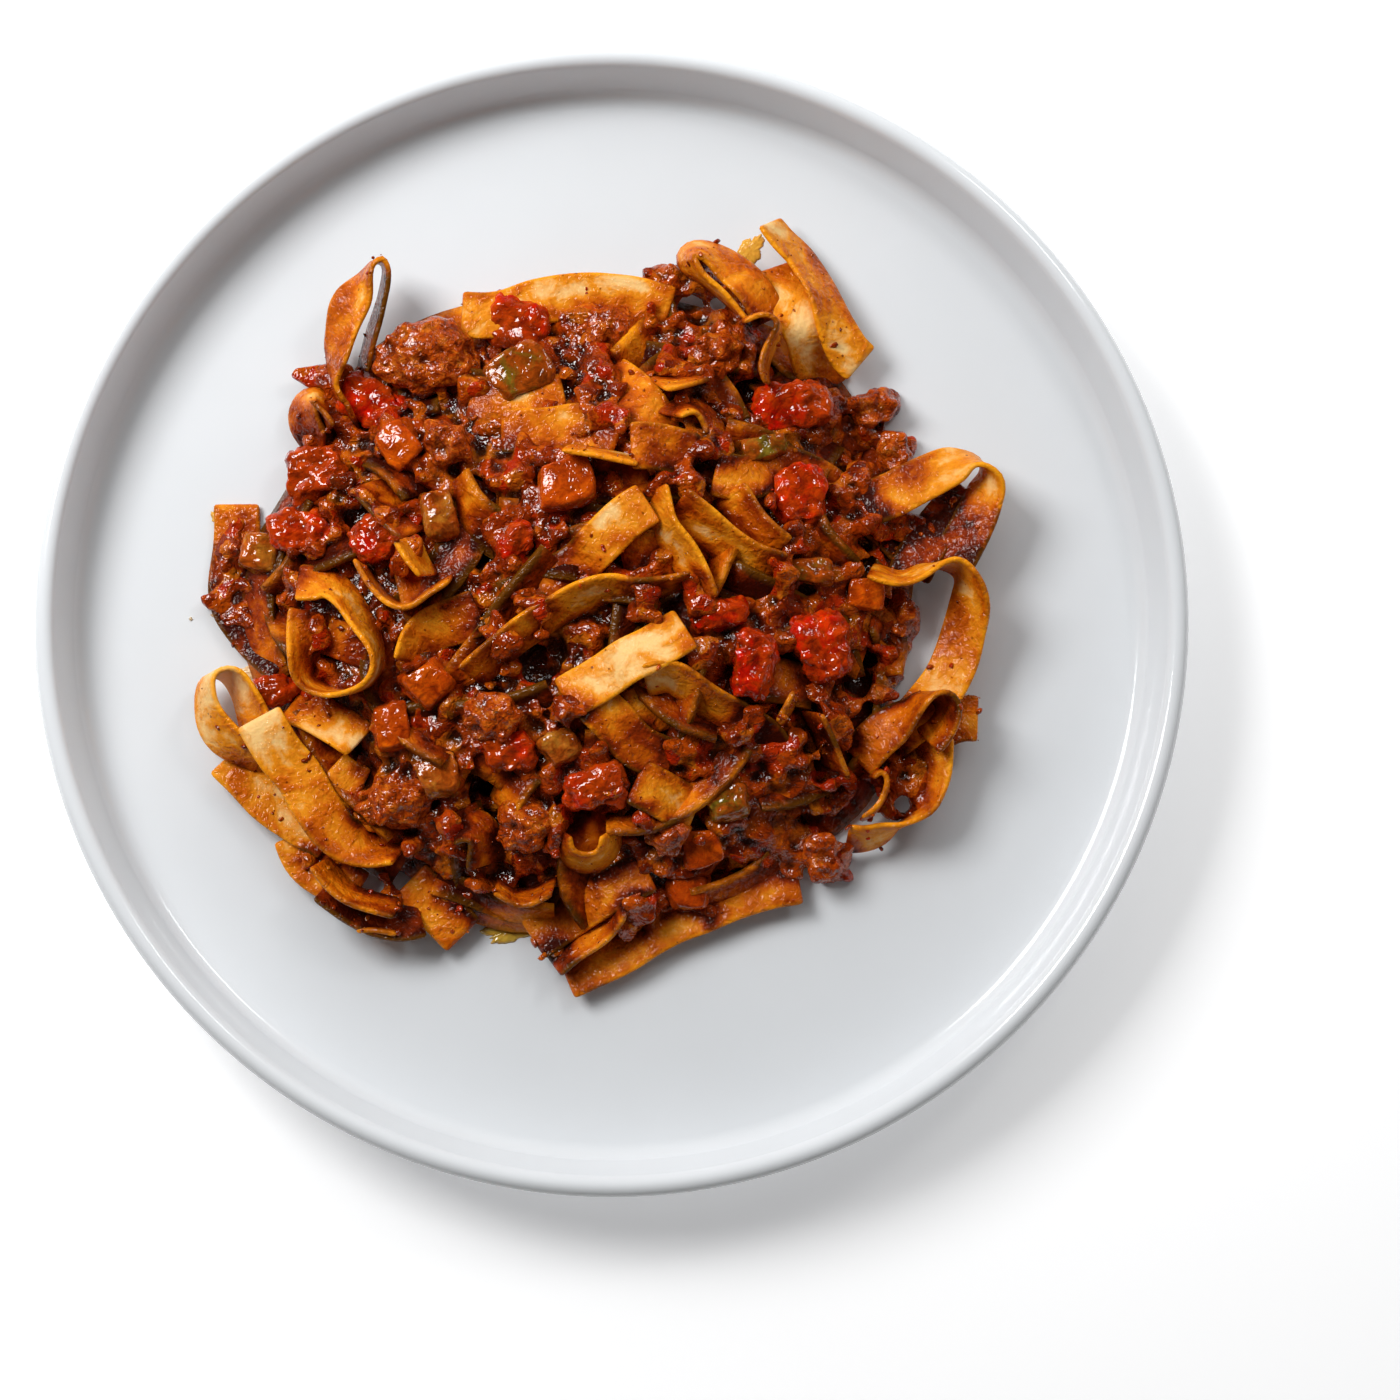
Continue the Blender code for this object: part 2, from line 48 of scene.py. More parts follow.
mm = 0.001
plateFloor = 7.0 * mm                          # height of the plate's eating surface
goldenTurn = 2.39996                           # radians, spreads things evenly over a round

studio = {
    "lens": 71.5,                              # mm, on a 36 mm sensor
    "distance": 0.600,
    "tilt": 5.4,                               # degrees off straight down, towards the front
    "target": (0.0, 0.0, 0.022),
    "shift": (0.0634, -0.0641),
    "keyFrom": (-0.81, 0.58),                  # window light, from the back left
    "keyElevation": 47.0,
    "keySize": 0.29,
    "keyDistance": 0.70,
    "keyPower": 4.15,
    "fillPlace": (0.0, 0.50, 0.36),            # a large soft panel at the back
    "fillSize": 0.90,
    "fillPower": 3.2,
    "sidePlace": (0.62, -0.24, 0.24),          # a weak one at the front right lifts the shadows
    "sideSize": 0.50,
    "sidePower": 0.5,
    "glintPlace": (0.30, 0.33, 0.50), "glintSize": 0.12, "glintPower": 0.42,
    "skyStrength": 0.17,
    "skyLow": "#fff6ea",                       # towards the horizon
    "skyHigh": "#50555a",                      # overhead, behind the camera
    "floorGlow": 0.30,
    "exposure": 0.0,
}


# Small helpers

def linearColour(hexText):
    value = hexText.lstrip("#")
    channels = [int(value[i:i + 2], 16) / 255 for i in (0, 2, 4)]
    return tuple(c / 12.92 if c <= 0.04045 else ((c + 0.055) / 1.055) ** 2.4 for c in channels) + (1.0,)


def deselectAll():
    if bpy.context.mode != "OBJECT":
        bpy.ops.object.mode_set(mode="OBJECT")
    bpy.ops.object.select_all(action="DESELECT")


def activate(item):
    deselectAll()
    item.select_set(True)
    bpy.context.view_layer.objects.active = item


def applyModifiers(item):
    activate(item)
    for modifier in list(item.modifiers):
        bpy.ops.object.modifier_apply(modifier=modifier.name)


def placeInMesh(item):                         # the object stays at the origin, its place is in its mesh
    activate(item)
    bpy.ops.object.transform_apply(location=True, rotation=True, scale=True)


def meshPoints(mesh):
    points = numpy.empty(len(mesh.vertices) * 3, numpy.float32)
    mesh.vertices.foreach_get("co", points)
    return points.reshape(-1, 3)


def setMeshPoints(mesh, points):
    mesh.vertices.foreach_set("co", numpy.asarray(points, numpy.float32).ravel())
    mesh.update()


def setAttribute(mesh, name, values):
    layer = mesh.attributes.get(name) or mesh.attributes.new(name, "FLOAT", "POINT")
    layer.data.foreach_set("value", numpy.asarray(values, numpy.float32))


def smoothStep(low, high, value):
    share = min(max((value - low) / (high - low), 0.0), 1.0)
    return share * share * (3 - 2 * share)


def addNode(tree, kind, settings=(), links=()):
    node = tree.nodes.new(kind)
    for name, value in dict(settings).items():
        if isinstance(name, str) and hasattr(node, name):
            setattr(node, name, value)
        else:
            node.inputs[name].default_value = value
    for name, source in dict(links).items():
        tree.links.new(source, node.inputs[name])
    return node


def newMaterial(name):
    material = bpy.data.materials.new(name)
    material.use_nodes = True
    tree = material.node_tree
    return material, tree, tree.nodes["Principled BSDF"]


def colourRamp(tree, factor, stops):
    ramp = addNode(tree, "ShaderNodeValToRGB", links={"Fac": factor})
    elements = ramp.color_ramp.elements
    while len(elements) < len(stops):
        elements.new(0.5)
    for element, (position, colour) in zip(elements, stops):
        element.position = position
        element.color = linearColour(colour)
    return ramp.outputs["Color"]


def topHeight(item):
    return max(v.co.z for v in item.data.vertices)


def finishPiece(item, nodes):
    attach(item, "root")
    if nodes:
        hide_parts(*nodes)
    print("made", item.name, len(item.data.polygons), "faces", round(topHeight(item) / mm, 2))


# Camera and light

def addPanel(name, place, size, power, glints=True):
    deselectAll()
    bpy.ops.object.light_add(type="AREA", location=place)
    panel = bpy.context.object
    panel.name = name
    panel.rotation_mode = "QUATERNION"
    panel.rotation_quaternion = place.to_track_quat("Z", "Y")
    panel.data.size = size
    panel.data.energy = power
    panel.visible_glossy = glints              # the wide panels don't show in the wet food


def makeStudio():
    tilt = math.radians(studio["tilt"])
    away = Vector((0.0, -math.sin(tilt), math.cos(tilt))) * studio["distance"]
    deselectAll()
    bpy.ops.object.camera_add(location=Vector(studio["target"]) + away, rotation=(tilt, 0.0, 0.0))
    camera = bpy.context.object
    camera.name = "camera"
    camera.data.lens = studio["lens"]
    camera.data.sensor_width = 36.0
    camera.data.shift_x, camera.data.shift_y = studio["shift"]
    camera.data.clip_start = 0.01
    bpy.context.scene.camera = camera

    rise = math.radians(studio["keyElevation"])
    keyWay = Vector((studio["keyFrom"][0] * math.cos(rise), studio["keyFrom"][1] * math.cos(rise),
                     math.sin(rise))).normalized()
    addPanel("window", keyWay * studio["keyDistance"], studio["keySize"], studio["keyPower"])
    addPanel("back panel", Vector(studio["fillPlace"]), studio["fillSize"], studio["fillPower"], False)
    addPanel("side panel", Vector(studio["sidePlace"]), studio["sideSize"], studio["sidePower"], False)
    addPanel("glint panel", Vector(studio["glintPlace"]), studio["glintSize"], studio["glintPower"])

    world = bpy.data.worlds.new("studio")
    world.use_nodes = True
    tree = world.node_tree
    way = addNode(tree, "ShaderNodeTexCoord").outputs["Generated"]
    height = addNode(tree, "ShaderNodeSeparateXYZ", links={"Vector": way}).outputs["Z"]
    background = tree.nodes["Background"]
    tree.links.new(colourRamp(tree, height, [(0.0, studio["skyLow"]), (1.0, studio["skyHigh"])]),
                   background.inputs["Color"])
    wet = addNode(tree, "ShaderNodeLightPath").outputs["Is Glossy Ray"]   # no grey veil on wet food
    tree.links.new(mapValue(tree, wet, 0.0, 1.0, studio["skyStrength"], studio["skyStrength"] * 0.3),
                   background.inputs["Strength"])
    bpy.context.scene.world = world
    bpy.context.scene.view_settings.view_transform = "Standard"
    bpy.context.scene.view_settings.exposure = studio["exposure"]

    deselectAll()
    bpy.ops.mesh.primitive_plane_add(size=4.0)
    table = bpy.context.object
    table.name = "table"
    table.location.z = -0.0002
    material, tree, shader = newMaterial("matt white paper")
    shader.inputs["Base Color"].default_value = linearColour("#fbfbfb")
    shader.inputs["Emission Color"].default_value = linearColour("#fbfcff")
    shader.inputs["Emission Strength"].default_value = studio["floorGlow"]
    shader.inputs["Roughness"].default_value = 0.9
    shader.inputs["Specular IOR Level"].default_value = 0.1
    table.data.materials.append(material)
    print("studio ready")


# Materials

def objectPlace(tree):
    return addNode(tree, "ShaderNodeTexCoord").outputs["Object"]


def noiseTexture(tree, place, size, detail=3.0, roughness=0.55, distortion=0.0):
    # size is the pattern's grain in millimetres
    return addNode(tree, "ShaderNodeTexNoise",
                   {"Scale": 1.0 / (size * mm), "Detail": detail, "Roughness": roughness,
                    "Distortion": distortion}, {"Vector": place})


def mapValue(tree, source, low, high, toLow=0.0, toHigh=1.0):
    return addNode(tree, "ShaderNodeMapRange", {"From Min": low, "From Max": high, "To Min": toLow,
                                                "To Max": toHigh}, {"Value": source}).outputs["Result"]


def mathNode(tree, operation, first, second=None, clamp=False):
    node = addNode(tree, "ShaderNodeMath", {"operation": operation, "use_clamp": clamp})
    for index, value in enumerate((first, second)):
        if value is None:
            continue
        if isinstance(value, (int, float)):
            node.inputs[index].default_value = value
        else:
            tree.links.new(value, node.inputs[index])
    return node.outputs["Value"]


def mixColour(tree, factor, first, second):
    node = addNode(tree, "ShaderNodeMix", {"data_type": "RGBA"})
    for socket, value in ((node.inputs["Factor"], factor), (node.inputs[6], first), (node.inputs[7], second)):
        if isinstance(value, str):
            socket.default_value = linearColour(value)
        elif isinstance(value, (int, float)):
            socket.default_value = value
        else:
            tree.links.new(value, socket)
    return node.outputs[2]


def bumpChain(tree, shader, layers, socket="Normal"):
    # layers are (height, depth in millimetres), the broadest first
    normal = None
    for height, depth in layers:
        bump = addNode(tree, "ShaderNodeBump", {"Strength": 1.0, "Distance": depth * mm}, {"Height": height})
        if normal:
            tree.links.new(normal, bump.inputs["Normal"])
        normal = bump.outputs["Normal"]
    tree.links.new(normal, shader.inputs[socket])


# Glazed porcelain, jiggered, dipped and fired: a hard clear gloss over a cool white body. The foot
# ring is wiped free of glaze, so it is matt and slightly warm.
porcelain = {"glaze": "#dcdfe2", "glazeThick": "#e1e4e7", "body": "#c5beb0", "roughness": 0.10, "wave": 14.0}


def makePorcelain():
    material, tree, shader = newMaterial("glazed porcelain")
    place = objectPlace(tree)
    height = addNode(tree, "ShaderNodeSeparateXYZ", links={"Vector": place}).outputs["Z"]
    wiped = mapValue(tree, height, 0.0002, 0.0006, 1.0, 0.0)
    cloud = noiseTexture(tree, place, 30.0, 2.0).outputs["Fac"]
    glaze = mixColour(tree, cloud, porcelain["glaze"], porcelain["glazeThick"])
    tree.links.new(mixColour(tree, wiped, glaze, porcelain["body"]), shader.inputs["Base Color"])
    satin = mapValue(tree, cloud, 0.3, 0.7, porcelain["roughness"] - 0.03, porcelain["roughness"] + 0.04)
    rough = addNode(tree, "ShaderNodeMix", {"data_type": "FLOAT", 3: 0.8}, {"Factor": wiped, 2: satin})
    tree.links.new(rough.outputs[0], shader.inputs["Roughness"])
    shader.inputs["IOR"].default_value = 1.52
    wave = noiseTexture(tree, place, porcelain["wave"], 1.0).outputs["Fac"]
    orangePeel = noiseTexture(tree, place, 1.6, 2.0).outputs["Fac"]
    bumpChain(tree, shader, [(wave, 0.06), (orangePeel, 0.003)])
    return material


# Cooked egg tagliatelle: boiled wheat and egg dough, satin and slightly see-through, with a painted
# highlight that makes it lighter and yellower along its edges, and oil and sauce soaked in where it touches the meat.
cookedPasta = {
    "clean": "#f0c27c", "yellow": "#e48c18", "oiled": "#c65e04", "soaked": "#882b02", "sauce": "#380a01",
    # edge is the colour of the painted highlight along the noodles' edges
    "edge": "#f7a414", "speck": "#5c1202",
    "blotchSize": 9.0, "puckerSize": 1.6, "grainSize": 0.45, "speckSize": 3.1,   # millimetres
}


def makePasta():
    material, tree, shader = newMaterial("cooked egg pasta")
    place = objectPlace(tree)
    stain = addNode(tree, "ShaderNodeAttribute", {"attribute_name": "stain"}).outputs["Fac"]
    # edge marks where the painted highlight along the noodles' edges goes
    edge = addNode(tree, "ShaderNodeAttribute", {"attribute_name": "edge"}).outputs["Fac"]
    broad = noiseTexture(tree, place, cookedPasta["blotchSize"], 4.0, 0.6, 0.6).outputs["Fac"]
    fine = noiseTexture(tree, place, cookedPasta["puckerSize"], 4.0, 0.65).outputs["Fac"]
    grain = noiseTexture(tree, place, cookedPasta["grainSize"], 3.0, 0.6).outputs["Fac"]
    drift = mathNode(tree, "ADD", mapValue(tree, broad, 0.3, 0.7, -0.24, 0.30),
                     mapValue(tree, fine, 0.3, 0.7, -0.08, 0.08))
    amount = mathNode(tree, "ADD", stain, drift, True)
    colour = colourRamp(tree, amount, [(0.0, cookedPasta["clean"]), (0.24, cookedPasta["yellow"]),
                                       (0.50, cookedPasta["oiled"]), (0.76, cookedPasta["soaked"]),
                                       (1.0, cookedPasta["sauce"])])
    # painted highlight along the edges, fainter where the noodle is saucy
    lift = mathNode(tree, "MULTIPLY", edge, mapValue(tree, amount, 0.35, 0.85, 0.60, 0.10))
    colour = mixColour(tree, lift, colour, cookedPasta["edge"])
    spots = addNode(tree, "ShaderNodeTexVoronoi", {"Scale": 1 / (cookedPasta["speckSize"] * mm), "Randomness": 1.0},
                    {"Vector": place}).outputs["Distance"]
    speck = mathNode(tree, "MULTIPLY", mapValue(tree, spots, 0.07, 0.12, 1.0, 0.0),
                     mapValue(tree, broad, 0.46, 0.56))
    colour = mixColour(tree, mathNode(tree, "MULTIPLY", speck, 0.85), colour, cookedPasta["speck"])
    tree.links.new(colour, shader.inputs["Base Color"])
    tree.links.new(mapValue(tree, fine, 0.3, 0.7, 0.40, 0.60), shader.inputs["Roughness"])
    shader.inputs["Specular IOR Level"].default_value = 0.05
    tree.links.new(mapValue(tree, amount, 0.05, 0.55, 0.15, 0.46), shader.inputs["Coat Weight"])
    shader.inputs["Coat Roughness"].default_value = 0.07
    shader.inputs["Coat IOR"].default_value = 1.48
    shader.inputs["Subsurface Weight"].default_value = 0.10
    shader.inputs["Subsurface Radius"].default_value = (1.0, 0.45, 0.15)
    shader.inputs["Subsurface Scale"].default_value = 0.0016
    puckers = noiseTexture(tree, place, cookedPasta["puckerSize"], 1.0, 0.4, 1.0).outputs["Fac"]
    wet = mathNode(tree, "MULTIPLY", puckers, mapValue(tree, amount, 0.10, 0.55, 0.35, 1.0))
    bumpChain(tree, shader, [(broad, 0.6), (wet, 0.50), (grain, 0.04)])
    bumpChain(tree, shader, [(broad, 0.9), (puckers, 0.70)], "Coat Normal")
    return material


# What each wet cooked food is made of. grain is its own pattern in millimetres, film the share of
# it that the sauce hides, wrinkle the depth of its surface in millimetres.
wetFoods = {
    # minced beef and tomato simmered to a thick oily sauce: painted shade darkens its creases, orange oil on top
    "bolognese sauce": {"dark": "#300700", "body": "#982a03", "light": "#cf5a08", "film": 0.15, "grain": 2.2,
                        "wrinkle": 0.75, "fine": 0.7, "roughness": (0.50, 0.70), "bits": 3.6, "glow": 0.04},
    # browned minced beef, fibrous and brown-red under the sauce
    "browned minced beef": {"dark": "#521202", "body": "#ac4209", "light": "#d8781c", "film": 0.40, "grain": 1.6,
                            "wrinkle": 0.65, "fine": 0.6, "roughness": (0.50, 0.70), "bits": 0, "glow": 0.04},
    # tomato flesh stewed soft: smooth, saturated red, very wet
    "stewed tomato": {"dark": "#8e0601", "body": "#c41403", "light": "#e43c08", "film": 0.58, "grain": 4.0,
                      "wrinkle": 0.40, "fine": 0.8, "roughness": (0.40, 0.60), "bits": 0, "glow": 0.12,
                      "other": "#b4400a"},
    # carrot softened in the sauce: opaque orange with a darker core
    "cooked carrot": {"dark": "#b03403", "body": "#dc5a06", "light": "#f07e10", "film": 0.62, "grain": 3.5,
                      "wrinkle": 0.30, "fine": 0.7, "roughness": (0.45, 0.65), "bits": 0, "glow": 0.10,
                      "other": "#a8380a"},
    # celery gone olive from long simmering
    "cooked celery": {"dark": "#3d2c08", "body": "#6d5514", "light": "#8f7a26", "film": 0.62, "grain": 3.0,
                      "wrinkle": 0.30, "fine": 0.8, "roughness": (0.45, 0.65), "bits": 0, "glow": 0.08,
                      "other": "#7c4a10"},
    # onion sweated until it is amber and see-through
    "cooked onion": {"dark": "#6c2f08", "body": "#a8641a", "light": "#cf8f34", "film": 0.62, "grain": 3.5,
                     "wrinkle": 0.30, "fine": 0.8, "roughness": (0.40, 0.60), "bits": 0, "glow": 0.16},
}


bitColours = [(0.0, "#300801"), (0.20, "#6e1e02"), (0.40, "#9e3804"), (0.58, "#bc5208"), (0.74, "#cc7412"),
              (0.88, "#a61a03"), (1.0, "#b82605")]


def makeWetFood(name):
    look = wetFoods[name]
    material, tree, shader = newMaterial(name)
    place = objectPlace(tree)
    # paintedShade: how much painted shade each point gets, in hollows and deep in the heap
    paintedShade = addNode(tree, "ShaderNodeAttribute", {"attribute_name": "paintedShade"}).outputs["Fac"]
    broad = noiseTexture(tree, place, look["grain"] * 2.6, 3.0, 0.6, 0.4).outputs["Fac"]
    flesh = noiseTexture(tree, place, look["grain"], 4.0, 0.65, 0.8).outputs["Fac"]
    fine = noiseTexture(tree, place, look["fine"], 3.0, 0.6, 0.5).outputs["Fac"]
    tone = mathNode(tree, "ADD", mathNode(tree, "MULTIPLY", flesh, 0.6), mathNode(tree, "MULTIPLY", broad, 0.4))
    colour = colourRamp(tree, tone, [(0.34, look["dark"]), (0.5, look["body"]), (0.66, look["light"])])
    if look["bits"]:
        # soft-edged bits of meat, tomato and onion, each its own colour
        bent = addNode(tree, "ShaderNodeVectorMath", {"operation": "MULTIPLY_ADD", 1: (0.0022, 0.0022, 0.0022)},
                       {0: noiseTexture(tree, place, 2.4, 2.0).outputs["Color"], 2: place}).outputs["Vector"]
        cells = addNode(tree, "ShaderNodeTexVoronoi", {"Scale": 1 / (look["bits"] * mm), "feature": "SMOOTH_F1",
                                                       "Smoothness": 0.12}, {"Vector": bent}).outputs["Color"]
        pick = addNode(tree, "ShaderNodeSeparateColor", links={"Color": cells}).outputs["Red"]
        bitTone = colourRamp(tree, pick, bitColours)
        colour = mixColour(tree, mapValue(tree, flesh, 0.38, 0.60, 0.35, 0.80), colour, bitTone)
    if "other" in look:                        # no two dice alike: some lean to another tone
        lean = noiseTexture(tree, place, 21.0, 1.0).outputs["Fac"]
        colour = mixColour(tree, mapValue(tree, lean, 0.45, 0.57, 0.0, 0.75), colour, look["other"])
    cover = noiseTexture(tree, place, 6.0, 4.0, 0.65, 1.0).outputs["Fac"]
    sauced = mapValue(tree, cover, 0.56 - look["film"] * 0.30, 0.70 - look["film"] * 0.30, 0.0, 0.72)
    sauceTone = colourRamp(tree, flesh, [(0.35, "#5e1202"), (0.65, "#bc4406")])
    colour = mixColour(tree, sauced, colour, sauceTone)
    # painted shade: near black in the hollows and deep inside the heap
    shade = mathNode(tree, "MULTIPLY", paintedShade, 0.95, True)
    colour = mixColour(tree, shade, colour, "#1a0402")
    tree.links.new(colour, shader.inputs["Base Color"])
    low, high = look["roughness"]
    tree.links.new(mapValue(tree, fine, 0.3, 0.7, low, high), shader.inputs["Roughness"])
    shader.inputs["Specular IOR Level"].default_value = 0.0
    shader.inputs["Coat Weight"].default_value = 1.0
    shader.inputs["Coat Roughness"].default_value = 0.03
    shader.inputs["Coat IOR"].default_value = 1.60
    if look["glow"]:
        shader.inputs["Subsurface Weight"].default_value = look["glow"]
        shader.inputs["Subsurface Radius"].default_value = (1.0, 0.3, 0.1)
        shader.inputs["Subsurface Scale"].default_value = 0.0018
    folds = noiseTexture(tree, place, look["grain"] * 1.6, 1.0, 0.4, 0.8).outputs["Fac"]
    ripples = noiseTexture(tree, place, look["fine"] * 2.3, 1.0, 0.4, 1.8).outputs["Fac"]
    bumpChain(tree, shader, [(folds, look["wrinkle"] * 1.7), (ripples, look["wrinkle"] * 0.95)])
    bumpChain(tree, shader, [(folds, look["wrinkle"] * 1.2), (ripples, look["wrinkle"] * 0.46)], "Coat Normal")
    return material


# Plate

plate = {
    "radius": 125.0, "height": 22.0, "lip": 4.6, "lean": 2.0, "corner": 3.6, "shoulder": 7.0,
    "underside": 2.0, "footOuter": 107.0, "footInner": 103.0, "footSlope": 1.2, "steps": 192,
}


def arcPoints(centre, radius, start, end, count):
    turns = [math.radians(start + (end - start) * i / (count - 1)) for i in range(count)]
    return [(centre[0] + radius * math.cos(t), centre[1] + radius * math.sin(t)) for t in turns]


def plateProfile():
    lip = plate["lip"] / 2
    wallFoot = plate["radius"] - plate["lip"] - plate["lean"]
    floor = plateFloor / mm
    points = [(0.0, floor), (60.0, floor), (100.0, floor)]
    points += arcPoints((wallFoot - plate["corner"], floor + plate["corner"]), plate["corner"], -90, 0, 9)
    points += arcPoints((plate["radius"] - lip, plate["height"] - lip), lip, 180, 0, 15)
    points += arcPoints((plate["radius"] - plate["shoulder"], plate["underside"] + plate["shoulder"]),
                        plate["shoulder"], 0, -90, 9)
    points += [(plate["footOuter"] + plate["footSlope"], plate["underside"]), (plate["footOuter"], 0.3),
               (plate["footOuter"] - 0.3, 0.0), (plate["footInner"] + 0.3, 0.0), (plate["footInner"], 0.3),
               (plate["footInner"] - plate["footSlope"], plate["underside"]), (0.0, plate["underside"])]
    return [Vector((radius * mm, 0.0, height * mm)) for radius, height in points]


def makePlate():
    profile = plateProfile()
    deselectAll()
    bpy.ops.mesh.primitive_plane_add(size=0.001)
    item = bpy.context.object
    item.name = "porcelain_plate"
    bpy.ops.object.mode_set(mode="EDIT")
    bpy.ops.mesh.merge(type="CENTER")          # one point, drawn out along the profile
    bpy.ops.transform.translate(value=profile[0])
    for before, after in zip(profile, profile[1:]):
        bpy.ops.mesh.extrude_vertices_move(TRANSFORM_OT_translate={"value": after - before})
    bpy.ops.mesh.select_all(action="SELECT")
    bpy.ops.mesh.spin(steps=plate["steps"], angle=math.tau, center=(0, 0, 0), axis=(0, 0, 1))
    bpy.ops.mesh.select_all(action="SELECT")
    bpy.ops.mesh.remove_doubles(threshold=0.00001)
    bpy.ops.mesh.normals_make_consistent(inside=False)
    bpy.ops.object.mode_set(mode="OBJECT")
    bpy.ops.object.shade_smooth_by_angle(angle=math.radians(50))
    item.data.materials.append(makePorcelain())
    finishPiece(item, ["plate"])


# The heap: peak over the plate, reach in millimetres every 22.5 degrees from +X, soft unevenness,
# and the dark pits that open between the noodles as (x, y, radius, depth).
heap = {
    "peak": 21.5, "bump": 1.3, "bumpSize": 13.0, "coreDrop": 1.5,
    "reach": [64, 65, 70, 71, 69, 71, 74, 75, 78, 76, 75, 70, 69, 65, 66, 66],
    "pits": [(-29, 23, 5.5, 8), (-30, 14, 5, 8), (6, 55, 6, 7), (34, 35, 5, 7), (38, -14, 6, 9), (-25, -40, 7, 9),
             (-5.3, -49, 5.5, 12), (54, -12, 5, 8), (31, 47, 5, 6), (27, 6, 4, 6), (-54, 20, 4, 5),
             (-49, -11, 5, 5), (-15, -12, 5, 6), (12, 2, 4, 6), (4, 11, 5, 6), (-57, -30, 4, 6), (26, 15, 4, 5),
             (48, -33, 4, 6), (-18, -60, 5, 6), (-55, -56, 4, 5), (33, 27, 4, 5), (-41, 4, 5, 4)],
}


def heapReach(angle):
    place = (angle % math.tau) / math.tau * len(heap["reach"])
    index = int(place)
    share = 0.5 - 0.5 * math.cos(math.pi * (place - index))
    near = heap["reach"][index % len(heap["reach"])]
    far = heap["reach"][(index + 1) % len(heap["reach"])]
    return (near + (far - near) * share) * mm


def heapHeight(x, y):
    share = math.hypot(x, y) / heapReach(math.atan2(y, x))
    if share >= 1.0:
        return 0.0
    dome = heap["peak"] * mm * (1.0 - share ** 2.4) ** 0.72
    bump = noise.noise(Vector((x, y, 0.0)) / (heap["bumpSize"] * mm)) * heap["bump"] * mm
    return max(0.0, dome + bump * (1.0 - share ** 4))


def pitDepth(x, y):
    depth = 0.0
    for px, py, radius, fall in heap["pits"]:
        away = math.hypot(x - px * mm, y - py * mm) / (radius * mm)
        if away < 1.5:
            depth = max(depth, fall * mm * (1.0 - smoothStep(0.35, 1.35, away)))
    return depth


